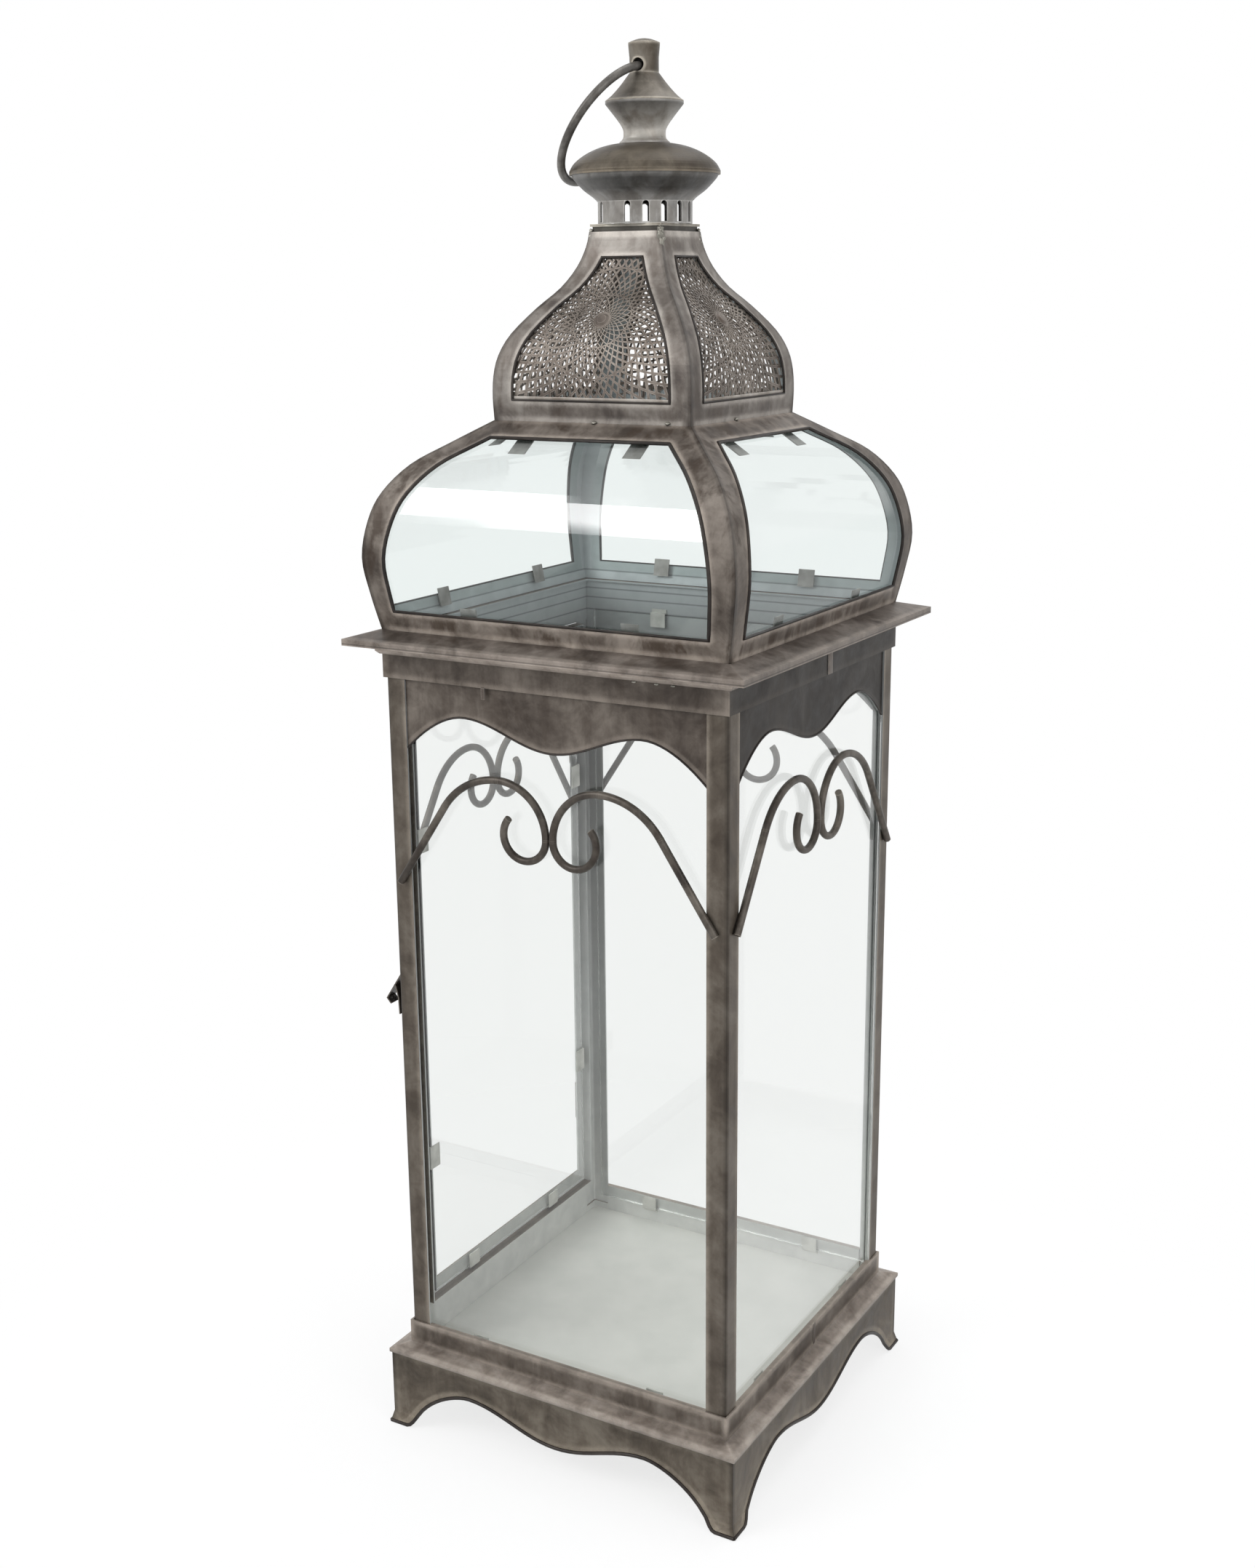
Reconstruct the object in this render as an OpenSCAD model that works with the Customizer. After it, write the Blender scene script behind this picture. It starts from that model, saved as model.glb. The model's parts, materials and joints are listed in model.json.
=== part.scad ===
// Floor lantern of folded sheet metal and glass: a skirted base, a glazed square body with
// a hinged door, a bulging glazed roof, a pierced dome, a vent, a spun cap and a carrying ring.
// Millimetres. The origin is on the floor under the middle of the body, +Z is up, the front
// is -Y and the door is on -X.

/* [Body] */
// Width of the body over the faces of two corner posts
body_w = 248; // [210:1:300]
// Width of each leg of a corner post
post_w = 14.5; // [11:0.5:18]
// Radius of the rounded outer corner of a post
post_round = 2.6; // [1.5:0.1:4]
// Thickness of the folded sheet metal
sheet_t = 1.2; // [0.9:0.1:1.4]
// Clearance between pieces that lie against each other
seam = 0.1; // [0.05:0.05:0.2]
// Height of the glazed side between the bottom rail and the frieze
side_h = 462.4; // [400:0.2:560]

/* [Base] */
// Height of the skirt from the floor to the nose of the ledge
skirt_h = 58.5; // [50:0.5:80]
// How far the face of the skirt stands out beyond the posts
skirt_out = 11.2; // [7:0.1:16]
// How far the tips of the feet kick outward
foot_kick = 1.8; // [0:0.1:5]
// Height of the part of a foot that kicks outward
foot_kick_h = 9; // [6:1:24]
// Width of a foot along each side
foot_w = 18.4; // [12:0.1:24]
// Size of the corner cut off the inner side of each foot
foot_cut = 4.5; // [1:0.5:7]
// Height of the crown of the arches in the skirt
arch_h = 37.2; // [30:0.1:45]
// Height of the point between the two arches of the skirt
arch_mid_h = 22; // [12:0.5:28]
// Distance of the crown of an arch from the middle of its side
arch_crown = 70; // [50:1:80]
// Rise of the sloping ledge from its nose to the body
ledge_rise = 3.6; // [2:0.1:8]
// Depth of the ledge's turned-down nose
ledge_lip = 2.6; // [2:0.1:5]
// Distance from the nose of the ledge down to the top of the floor plate
floor_drop = 1.3; // [1.1:0.1:4]
// Height of the bottom rail
rail_h = 16.5; // [12:0.5:24]

/* [Frieze and cornice] */
// Height of the band that shows above the glazing
frieze_h = 15.5; // [10:0.5:24]
// Height of the cornice from the frieze to the glazed roof
cornice_h = 15.5; // [13:0.5:20]
// How far the tip of the cornice stands out beyond the posts
cornice_out = 19.5; // [12:0.5:26]
// Height of the tip of the cornice
cornice_tip_h = 4.3; // [3.2:0.1:6]
// Drop of the scalloped valance below the frieze, at the posts
valance_drop = 45.5; // [38:0.5:60]
// Drop of the valance at the crown of its arches
valance_crown_drop = 21.3; // [14:0.1:26]
// Drop of the valance at the middle of its side
valance_mid_drop = 37.5; // [28:0.5:44]
// Position of the crown of a valance arch, as a part of the half opening
valance_crown_at = 0.6; // [0.5:0.01:0.7]

/* [Glazing] */
// Thickness of the glass
glass_t = 2.4; // [2:0.1:3]
// How far each side pane reaches behind its post
pane_lap = 4.5; // [3:0.5:6]
// Distance of the lower edge of a side pane below the top of the bottom rail
pane_drop = 8.6; // [6:0.1:12]
// Distance of the upper edge of a side pane above the foot of the frieze
pane_rise = 8.4; // [4:0.1:10]
// Thickness of the clip strip
clip_t = 0.8; // [0.6:0.1:1]
// Width of a clip
clip_w = 12; // [8:0.5:16]
// How far a clip reaches over the glass
clip_reach = 9; // [6:0.5:12]
// Length of the foot of a clip
clip_foot = 4; // [3:0.1:4.2]
// Distance of the lower pane clips from the middle of the side
clip_low_x = 69; // [40:1:85]
// Distance of the upper pane clips from the middle of the side
clip_top_x = 59; // [40:1:85]

/* [Scrolls] */
// Diameter of the scroll wire
wire_d = 4.9; // [4:0.1:6]
// Radius of the hook at the free end of a scroll
hook_r = 15.8; // [12:0.1:18]
// Radius of the shoulder between the hook and the top
shoulder_r = 34.5; // [28:0.5:38]
// Radius of the long outer bend
crown_r = 51; // [42:0.5:58]
// Lean of the straight arm from upright, in degrees
arm_lean = 33.7; // [28:0.1:40]
// How far the hook turns past level, in degrees
hook_turn = 42; // [10:1:70]
// Drop of the middle of the hooks below the frieze
scroll_drop = 92.5; // [75:0.5:130]

/* [Door] */
// Gap around the door
door_gap = 1; // [0.8:0.1:1.6]
// Height of the sill above the bottom rail
sill_rise = 6; // [3:0.5:12]
// Width of the door's stiles
stile_w = 12; // [9:0.5:15]
// Height of the door's rails
door_rail_h = 14; // [11:0.5:20]
// Depth of the turned-in edge of the door
door_depth = 8; // [6:0.5:10]
// How much lower the door's scrolls sit than those on the fixed sides
door_scroll_drop = 4.5; // [0:0.5:20]
// Height of the lower hinge above the sill
hinge_low_z = 60; // [30:1:100]
// Drop of the foot of the upper hinge below the frieze
hinge_top_drop = 106; // [60:1:140]
// Length of a hinge
hinge_l = 30; // [20:1:45]
// Outside diameter of the hinge knuckles
knuckle_d = 4.8; // [4.2:0.1:7]
// Diameter of the hinge pin
pin_d = 2; // [1.6:0.1:2.2]
// Radial running clearance of the pin and of the latch rivet
run_fit = 0.08; // [0.04:0.01:0.1]
// Height of the latch pivot above the sill
latch_z = 237; // [150:1:300]
// Length of the latch lever from its pivot to the tip of its tongue
latch_l = 17; // [14.5:0.5:18]
// Width of the latch lever
latch_w = 8; // [6:0.5:10]
// Diameter of the latch rivet
rivet_d = 3; // [2.4:0.1:4]

/* [Glazed roof] */
// Height of the glazed roof
roof_h = 130; // [110:1:160]
// How far the roof bulges beyond its foot
roof_bulge = 7.7; // [4:0.1:12]
// Half width of the roof at its top, where the dome stands
roof_top_half = 70.8; // [62:0.2:80]
// Width of the roof's border at the foot of the side
roof_border_low = 15; // [12:0.5:20]
// Width of the roof's border at the top of the side
roof_border_top = 21.5; // [16:0.5:26]
// Height of the roof's border below its glass
roof_sill_h = 13; // [10:0.5:18]
// Height of the roof's border above its glass
roof_head_h = 9.5; // [8:0.5:12]

/* [Dome] */
// Height of the dome
dome_h = 114.4; // [100:0.2:140]
// Half width of the dome at its top
dome_top_half = 25.8; // [24:0.2:29]
// Width of the dome's border beside the pierced screen
dome_border = 14.8; // [12:0.2:17]
// Height of the dome's border below the screen
dome_sill_h = 13; // [10:0.5:18]
// Height of the dome's border above the screen
dome_head_h = 15.4; // [12:0.2:20]
// Thickness of the pierced screen
screen_t = 0.8; // [0.6:0.1:1.2]
// Height of the dark recess under the lid plate
lid_neck_h = 3.1; // [1:0.1:4]
// Thickness of the square lid plate
lid_t = 1.5; // [1.5:0.1:4]

/* [Vent and cap] */
// Outside radius of the vent collar
vent_r = 29.8; // [28:0.1:33]
// Height of the straight part of the vent collar
vent_h = 14; // [10:0.5:20]
// Height of a vent slot
slot_h = 12.4; // [6:0.1:13]
// Width of a vent slot
slot_w = 4; // [3:0.1:5]
// Number of slot places around the collar, one of which is the closed seam
slot_n = 16; // [10:1:18]
// Radius of the brim
brim_r = 47.4; // [44:0.1:48]
// Height of the flare from the collar to the brim
flare_h = 17; // [14:0.5:22]
// Height of the cap above the brim
cap_h = 17.2; // [15:0.1:24]

/* [Finial and ring] */
// Radius of the finial's waist
neck_r = 13.2; // [10:0.1:15]
// Radius of the finial's sharp flange
flange_r = 24.4; // [20:0.1:26]
// Height from the cap to the flange
flange_h = 24.7; // [20:0.1:28]
// Radius of the post at the top of the finial
tip_r = 9.1; // [8.4:0.1:11]
// Height from the flange to the top of the finial
spire_h = 36.9; // [33:0.1:46]
// Radius of the hole for the ring
ring_hole_r = 3.9; // [3.6:0.1:4.2]
// Distance of the hole below the top of the finial
ring_hole_drop = 15.6; // [13:0.1:19]
// How far the hole is turned from the front towards the right, in degrees
ring_turn = 2; // [-30:1:30]
// Radius of the ring, to the middle of its wire
ring_r = 42; // [41:0.1:50]
// Diameter of the ring's wire
ring_wire_d = 5.2; // [4.6:0.1:5.6]

/* [Hidden] */
$fn = 48;
half = body_w / 2;
overshoot = 5;                                   // how far cutters pass the faces that they cut

// Levels, counted up from the floor
skirt_half = half + skirt_out;
nose_half = skirt_half + seam + sheet_t;
floor_z = skirt_h - floor_drop;
body_z = skirt_h + ledge_rise;
rail_z = body_z + rail_h;
frieze_z = rail_z + side_h;
soffit_z = frieze_z + frieze_h;
roof_z = soffit_z + cornice_h;
post_top_z = roof_z - sheet_t - seam;
dome_z = roof_z + roof_h;
dome_top_z = dome_z + dome_h;
vent_z = dome_top_z + lid_neck_h + lid_t;
flare_z = vent_z + vent_h;
brim_z = flare_z + flare_h;
cap_top_z = brim_z + cap_h;
flange_z = cap_top_z + flange_h;
tip_z = flange_z + spire_h;
ring_hole_z = tip_z - ring_hole_drop;

// Layers of the wall, from the outside in
band_in = half + seam;                           // inner face of the rail and frieze bands
band_out = band_in + sheet_t;
lining_out = half - sheet_t - seam;              // valance, inner legs of the rails
lining_in = lining_out - sheet_t;
pane_out = lining_in - seam;
pane_in = pane_out - glass_t;
opening_half = half - post_w;                    // free width between the posts
pane_half = opening_half + pane_lap;

// Smooth curves and bent strips. A line is a list of [distance from the axis, height].
function unit(v) = v / norm(v);
function left(v) = [-v[1], v[0]];
function lerp(a, b, u) = a + (b - a) * u;
function last(p) = p[len(p) - 1];

// Point between p[i] and p[i + 1] on the smooth curve through all of p
function blend(p, i, u) = let(
    a = p[max(i - 1, 0)], b = p[i], c = p[i + 1], d = p[min(i + 2, len(p) - 1)])
    (2*b + (c - a)*u + (2*a - 5*b + 4*c - d)*u*u + (3*b - a - 3*c + d)*u*u*u) / 2;
function smooth(p, n) = concat(
    [for (i = [0:len(p) - 2], k = [0:n - 1]) blend(p, i, k / n)], [last(p)]);

// Line p moved to its left by t, with mitred corners
function inset_point(p, i, t) = let(
    n = len(p),
    a = left(unit(i == 0 ? p[1] - p[0] : p[i] - p[i - 1])),
    b = left(unit(i == n - 1 ? p[n - 1] - p[n - 2] : p[i + 1] - p[i])),
    m = unit(a + b)) p[i] + m * t / (m * a);
function inset(p, t) = [for (i = [0:len(p) - 1]) inset_point(p, i, t)];
function backward(p) = [for (i = [len(p) - 1:-1:0]) p[i]];
// Closed outline of a sheet of thickness t whose outer face is the line p
function strip(p, t) = concat(p, backward(inset(p, t)));
function between(p, lo, hi) = [for (q = p) if (q[1] > lo && q[1] < hi) q];
// Distance from the axis of the line p at height z
function reach_at(p, z) = let(
    i = [for (k = [0:len(p) - 2]) if (p[k][1] <= z && p[k + 1][1] > z) k][0])
    lerp(p[i][0], p[i + 1][0], (z - p[i][1]) / (p[i + 1][1] - p[i][1]));

// Extrudes a section, drawn as [distance out, height], along a side that faces -Y
module along_front(section, length) {
    rotate([90, 0, -90]) linear_extrude(length, center = true) polygon(section);
}

// One mitred side of a square frame
module front_side(section) {
    reach = half + skirt_out + cornice_out;
    intersection() {
        along_front(section, 2 * reach);
        linear_extrude(tip_z) polygon([[0, 0], [-reach, -reach], [reach, -reach]]);
    }
}

module square_ring(section) {
    for (side = [0:3]) rotate([0, 0, 90 * side]) front_side(section);
}

// Turns a piece that is drawn on the front to side 1 (right), 2 (back) or 3 (left, the door)
module on_side(side) rotate([0, 0, 90 * side]) children();

// Extrudes an outline, drawn as [x, z], straight through the front wall
module through_front(outline, from, to) {
    translate([0, -from, 0]) rotate([90, 0, 0]) linear_extrude(to - from) polygon(outline);
}
function both_sides(p) = concat(p, [for (i = [len(p) - 1:-1:0]) [-p[i][0], p[i][1]]]);

module spun(line, t) rotate_extrude($fn = 96) polygon(strip(line, t));

// ---- Base ----
foot_in = skirt_half + foot_kick - foot_w;
ledge_slope = ledge_rise / (nose_half - band_out);
skirt_top_z = skirt_h + (nose_half - skirt_half) * ledge_slope
    - sheet_t * sqrt(1 + ledge_slope * ledge_slope) - seam;
arch_steps = 12;
arch_power = 1.6;
function arch_inner(u) = lerp(arch_mid_h, arch_h, (1 - cos(180 * u)) / 2);
function arch_outer(u) = arch_h * pow(1 - pow(u, arch_power), 1 / arch_power);
skirt_arch = concat(
    [for (k = [0:arch_steps - 1]) let(u = k / arch_steps) [arch_crown * u, arch_inner(u)]],
    [for (k = [0:arch_steps]) let(u = k / arch_steps)
        [lerp(arch_crown, foot_in, u), max(arch_outer(u), foot_cut)]]);

module skirt(side) {
    color([0.36, 0.32, 0.29]) on_side(side) difference() {
        front_side(strip([[skirt_half + foot_kick, 0], [skirt_half + foot_kick, foot_kick_h / 4],
            [skirt_half, foot_kick_h], [skirt_half, skirt_top_z]], sheet_t));
        cut_end = foot_in + foot_cut + overshoot;
        through_front(concat([[cut_end, -overshoot]], [[-cut_end, -overshoot]],
            [for (i = [len(skirt_arch) - 1:-1:1]) [-skirt_arch[i][0], skirt_arch[i][1]]],
            skirt_arch), half, nose_half + foot_kick + overshoot);
    }
}

module base_ledge() {
    color([0.45, 0.41, 0.38]) square_ring(strip([[nose_half, skirt_h - ledge_lip],
        [nose_half, skirt_h], [band_out, body_z], [lining_in, body_z],
        [lining_in, floor_z - sheet_t + seam]], sheet_t));
}

// Flat tray: its raised middle fills the body, and its flange runs out to the skirt
module floor_plate() {
    flange_half = skirt_half - sheet_t - seam;
    tray_half = lining_in - seam;
    color([0.78, 0.79, 0.77]) {
        translate([-flange_half, -flange_half, floor_z - 2 * sheet_t])
            cube([2 * flange_half, 2 * flange_half, sheet_t]);
        translate([-tray_half, -tray_half, floor_z - 2 * sheet_t])
            cube([2 * tray_half, 2 * tray_half, 2 * sheet_t]);
    }
}

// Folded channel: the outer band runs from mitre to mitre, the inner legs between the posts
module bottom_rail(side) {
    color([0.38, 0.34, 0.31]) on_side(side) {
        front_side(strip([[band_out, body_z], [band_out, rail_z]], sheet_t));
        along_front(strip([[band_out, body_z], [band_out, rail_z], [lining_in, rail_z],
            [lining_in, body_z]], sheet_t), 2 * (opening_half - seam));
    }
}

sill_z = rail_z + sill_rise;
module door_sill() {
    color([0.38, 0.34, 0.31]) on_side(3) {
        front_side(strip([[band_out, body_z], [band_out, rail_z]], sheet_t));
        along_front(strip([[half, body_z], [half, sill_z], [lining_in, sill_z],
            [lining_in, body_z]], sheet_t), 2 * (opening_half - seam));
        along_front([[half - seam, body_z], [band_in + seam, body_z], [band_in + seam, rail_z],
            [half - seam, rail_z]], 2 * (opening_half - seam));
    }
}

// ---- Corner posts ----
module post(corner) {
    in_round = post_round - sheet_t;
    color([0.37, 0.33, 0.30]) on_side(corner) translate([-half, -half, body_z])
        linear_extrude(post_top_z - body_z) difference() {
            union() {
                translate([post_round, 0]) square([post_w - post_round, post_w]);
                translate([0, post_round]) square([post_w, post_w - post_round]);
                translate([post_round, post_round]) circle(post_round);
            }
            translate([sheet_t, sheet_t]) {
                translate([in_round, 0]) square([post_w, post_w]);
                translate([0, in_round]) square([post_w, post_w]);
                translate([in_round, in_round]) circle(in_round);
            }
        }
}

// ---- Frieze, valances and cornice ----
module frieze() {
    color([0.35, 0.31, 0.29]) square_ring(strip([[band_out, frieze_z], [band_out, post_top_z]],
        sheet_t));
}

// Lower edge of a valance in an opening of half width w, from the middle out
function valance_z(u) = frieze_z - (u < valance_crown_at
    ? lerp(valance_mid_drop, valance_crown_drop, (1 - cos(180 * u / valance_crown_at)) / 2)
    : lerp(valance_crown_drop, valance_drop,
        pow((u - valance_crown_at) / (1 - valance_crown_at), 1.8)));
valance_steps = 24;
function valance_edge(w) = [for (k = [0:valance_steps]) let(u = k / valance_steps)
    [w * u, valance_z(u)]];

// Scalloped sheet behind an opening of half width w, as wide as cover on each side
module valance(side, w, cover, top) {
    edge = valance_edge(w);
    right = concat(edge, [[cover, frieze_z - valance_drop], [cover, top]]);
    color([0.38, 0.34, 0.31]) on_side(side)
        through_front(concat(right, [for (i = [len(right) - 1:-1:1]) [-right[i][0], right[i][1]]]),
            lining_in, lining_out);
}

// Lining behind the frieze above the door
module door_header() {
    color([0.38, 0.34, 0.31]) on_side(3) along_front(strip([[lining_out, frieze_z],
        [lining_out, post_top_z]], sheet_t), 2 * (half - post_round - seam));
}

cornice_half = half + cornice_out;
cornice_fillet = 2;                              // step of the small moulding under the soffit
cornice_tip_z = soffit_z + cornice_h * 0.42;     // underside of the tip
cornice_line = [
    [band_out + seam + sheet_t, soffit_z],
    [band_out + seam + sheet_t + cornice_fillet, soffit_z + cornice_fillet],
    [band_out + seam + sheet_t + cornice_fillet, cornice_tip_z - 1.2],
    [cornice_half, cornice_tip_z],
    [cornice_half, cornice_tip_z + cornice_tip_h],
    [band_out, roof_z],
    [lining_in - 2, roof_z]];
module cornice() color([0.42, 0.38, 0.35]) square_ring(strip(cornice_line, sheet_t));

// ---- Side glazing ----
pane_low_z = rail_z - pane_drop;
pane_top_z = frieze_z + pane_rise;
module pane(side) {
    color([0.80, 0.88, 0.86, 0.35]) on_side(side) translate([-pane_half, -pane_out, pane_low_z])
        cube([2 * pane_half, glass_t, pane_top_z - pane_low_z]);
}

// Bent strip that holds a pane against the wall: the foot lies on the wall, whose face is
// back from the glass, and the tab reaches over the glass. Drawn as [depth, height], with the
// edge of the glass at height 0.
// step is the depth from the wall that carries the foot to the inner face of the glass
function clip_line(step) = [[0, -clip_foot], [0, -seam - clip_t], [step, -seam - clip_t],
    [step, clip_reach]];
module clip(step, w) {
    rotate([90, 0, 90]) linear_extrude(w, center = true)
        polygon(strip(backward(clip_line(step)), clip_t));
}

module pane_clips() {
    color([0.62, 0.61, 0.59]) for (side = [0, 1, 2], x = [-1, 1]) on_side(side) {
        translate([x * clip_low_x, -lining_in + seam, pane_low_z]) clip(lining_in - pane_in, clip_w);
        translate([x * clip_top_x, -lining_in + seam, pane_top_z]) mirror([0, 0, 1])
            clip(lining_in - pane_in, clip_w);
    }
}

// ---- Scrolls ----
module wire_arc(r, from, to) {
    rotate([0, 0, from]) rotate_extrude(angle = to - from) translate([r, 0]) circle(wire_d / 2);
}
// The bends stop just short of each other, and a bead of solder joins them
function short(r) = 0.2 / r * 180 / PI;
module solder(p, angle) {
    translate(p) rotate([0, 0, angle]) rotate([90, 0, 0])
        cylinder(h = 1.2, d = wire_d + 0.12, center = true);
}
// Half of a pair, drawn in the plane of its side: x to the right, y up, the hooks meet at x = 0
module scroll_half(k, arm_end) {
    r1 = hook_r * k;
    r2 = shoulder_r * k;
    r3 = crown_r * k;
    touch = wire_d / 2 + seam;
    arm_start = [touch + r2 + r3 * cos(arm_lean), r2 - r3 * (1 - sin(arm_lean))];
    arm_l = (arm_end - arm_start[0]) / sin(arm_lean);
    translate([touch + r1, 0]) wire_arc(r1, short(r1) - 180, hook_turn);
    solder([touch, 0], 0);
    translate([touch + r2, 0]) wire_arc(r2, 90 + short(r2), 180 - short(r2));
    solder([touch + r2, r2], 90);
    translate([touch + r2, r2 - r3]) wire_arc(r3, arm_lean + short(r3), 90 - short(r3));
    solder(arm_start, arm_lean);
    translate(arm_start) rotate([0, 0, arm_lean]) translate([0, -0.2, 0]) rotate([90, 0, 0])
        cylinder(h = arm_l, d = wire_d);
}
module scroll_pair(side, k, arm_end, z) {
    color([0.29, 0.26, 0.24]) on_side(side)
        translate([0, -half - seam - wire_d / 2, z]) rotate([90, 0, 0]) {
            scroll_half(k, arm_end);
            mirror([1, 0, 0]) scroll_half(k, arm_end);
        }
}
post_mid = half - post_w / 2;
module scrolls(side) scroll_pair(side, 1, post_mid, frieze_z - scroll_drop);

// ---- Door ----
door_half = opening_half - door_gap;
door_low_z = sill_z + door_gap;
door_top_z = frieze_z - door_gap;
glazed_half = door_half - stile_w;
door_pane_half = glazed_half + pane_lap;
door_pane_low_z = door_low_z + door_rail_h - pane_drop;
door_pane_top_z = door_top_z - door_rail_h + pane_drop;
stile_mid = door_half - stile_w / 2;

module door_box(w, low, top, from, to) {
    translate([-w, -to, low]) cube([2 * w, to - from, top - low]);
}
module door_frame() {
    color([0.37, 0.33, 0.30]) on_side(3) difference() {
        door_box(door_half, door_low_z, door_top_z, half - door_depth, half);
        door_box(door_half - sheet_t, door_low_z + sheet_t, door_top_z - sheet_t,
            half - door_depth - overshoot, half - sheet_t);
        door_box(glazed_half, door_low_z + door_rail_h, door_top_z - door_rail_h,
            half - door_depth, half + overshoot);
        translate([stile_mid, -half, latch_pivot_z]) rotate([90, 0, 0])
            cylinder(h = 4 * sheet_t, d = rivet_d, center = true);
    }
}
module door_pane() {
    color([0.80, 0.88, 0.86, 0.35]) on_side(3)
        door_box(door_pane_half, door_pane_low_z, door_pane_top_z, pane_in, pane_out);
}
door_clip_z = [sill_z + 110, frieze_z - 116];    // heights of the side clips
module door_clips() {
    back = half - sheet_t;
    w = clip_w * 1.4;
    color([0.62, 0.61, 0.59]) on_side(3) {
        for (x = [-1, 1]) translate([x * clip_low_x * 0.78, -back + seam, door_pane_low_z])
            clip(back - pane_in, clip_w);
        for (x = [-1, 1], z = door_clip_z) translate([x * door_pane_half, -back + seam, z])
            rotate([0, -90 * x, 0]) clip(back - pane_in, w);
    }
}
door_scroll_k = stile_mid / post_mid;
module door_scrolls() scroll_pair(3, door_scroll_k, stile_mid, frieze_z - scroll_drop - door_scroll_drop);
module door_valance() valance(3, glazed_half, door_half - sheet_t - seam, door_top_z - sheet_t - seam);

// Hinges: drawn around their pin, leaf to +X lies on the post or to -X on the door
leaf_t = 0.8;
hinge_x = opening_half - door_gap / 2;           // along the side, from its middle
hinge_out = half + seam + knuckle_d / 2;
knuckle_gap = 0.2;
knuckle_l = (hinge_l - 2 * knuckle_gap) / 3;
module at_hinges() {
    on_side(3) for (z = [sill_z + hinge_low_z, frieze_z - hinge_top_drop])
        translate([-hinge_x, -hinge_out, z])
        children();
}
module knuckle(z, dir) {
    translate([0, 0, z]) difference() {
        union() {
            cylinder(h = knuckle_l, d = knuckle_d);
            translate([dir > 0 ? 0 : -knuckle_d * 0.7, knuckle_d / 2 - leaf_t, 0])
                cube([knuckle_d * 0.7, leaf_t, knuckle_l]);
        }
        translate([0, 0, -overshoot]) cylinder(h = knuckle_l + 2 * overshoot, r = pin_d / 2 + run_fit);
    }
}
leaf_from = knuckle_d * 0.6;
leaf_w = 9;
module leaf(dir) {
    translate([dir > 0 ? leaf_from : -leaf_from - leaf_w, knuckle_d / 2 - leaf_t, 0])
        cube([leaf_w, leaf_t, hinge_l]);
}
module hinge_post_leaves() {
    color([0.33, 0.30, 0.28]) at_hinges() {
        leaf(-1);
        knuckle(0, -1);
        knuckle(2 * (knuckle_l + knuckle_gap), -1);
    }
}
module hinge_door_leaves() {
    color([0.33, 0.30, 0.28]) at_hinges() {
        leaf(1);
        knuckle(knuckle_l + knuckle_gap, 1);
    }
}
pin_head_h = 1;
module hinge_pins() {
    color([0.45, 0.43, 0.41]) at_hinges() {
        translate([0, 0, -pin_head_h]) cylinder(h = hinge_l + 2 * pin_head_h, d = pin_d);
        translate([0, 0, hinge_l + seam]) cylinder(h = pin_head_h, d = pin_d * 1.7);
        translate([0, 0, -pin_head_h - seam]) cylinder(h = pin_head_h, d = pin_d * 1.7);
    }
}

// Latch: the lever hangs from its rivet on the door's stile, and a quarter turn swings its
// tongue behind the catch on the post
latch_pivot_z = sill_z + latch_z;
latch_t = 1.2;
module latch_lever() {
    tail_l = 11;
    color([0.31, 0.28, 0.26]) on_side(3) translate([stile_mid, -half - seam, latch_pivot_z])
        rotate([90, 0, 0]) difference() {
            union() {
                linear_extrude(latch_t) {
                    circle(d = latch_w);
                    translate([-latch_w / 2, -latch_l + latch_w / 2])
                        square([latch_w, latch_l - latch_w / 2]);
                    translate([0, -latch_l + latch_w / 2]) circle(d = latch_w);
                    translate([-latch_w / 2, 0]) square([latch_w, tail_l]);
                }
                translate([-latch_w / 2, tail_l - latch_t, 0]) cube([latch_w, latch_t, 9]);
            }
            translate([0, 0, -overshoot]) cylinder(h = 20, r = rivet_d / 2 + run_fit);
        }
}
module latch_rivet() {
    head_h = 1.2;
    shank = sheet_t + seam + latch_t + seam;
    color([0.50, 0.47, 0.44]) on_side(3) translate([stile_mid, -half + sheet_t, latch_pivot_z])
        rotate([90, 0, 0]) {
            cylinder(h = shank, d = rivet_d);
            translate([0, 0, shank]) cylinder(h = head_h, d = rivet_d * 1.9);
            translate([0, 0, -head_h]) cylinder(h = head_h, d = rivet_d * 1.7);
        }
}
// Bent strip on the post: soldered foot and sloping horn with a curled tip, and a leg under the
// horn that stops short of the post
catch_out = 12.4;
catch_w = 9;
module latch_catch() {
    root = [half, 14.5];
    tip = [half + catch_out, -4.5];
    horn = [root + [0, 6], root, tip, tip + [-3, -3.4]];
    leg = [lerp(root, tip, 0.42) + [0.3, 0.2], [half + 2.9, -3],
        [half + latch_t + 4 * seam + leaf_t, -14.5]];
    color([0.25, 0.23, 0.21]) on_side(3) translate([opening_half + 2.5 + catch_w / 2, 0,
        latch_pivot_z]) for (line = [horn, leg])
            along_front(strip(backward(line), -leaf_t), catch_w);
}

// ---- Glazed roof ----
roof_foot_half = half + 0.9;
roof_wide_half = roof_foot_half + roof_bulge;
roof_wide_at = 0.36;                             // height of the widest place, as a part of roof_h
// Upper curve as parts of the way in to the top and of the way up from the widest place
roof_upper = [[0.055, 0.28], [0.165, 0.49], [0.38, 0.69], [0.67, 0.84], [1, 1]];
roof_curve = smooth(concat(
    [[roof_foot_half, roof_z],
     [lerp(roof_foot_half, roof_wide_half, 0.6), roof_z + roof_h * roof_wide_at * 0.5],
     [roof_wide_half, roof_z + roof_h * roof_wide_at]],
    [for (q = roof_upper) [lerp(roof_wide_half, roof_top_half, q[0]),
        lerp(roof_z + roof_h * roof_wide_at, dome_z, q[1])]]), 4);
roof_flange = 7;
roof_line = concat(roof_curve, [[roof_top_half - roof_flange, dome_z]]);
roof_low_z = roof_z + roof_sill_h;
roof_high_z = dome_z - roof_head_h;

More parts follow.
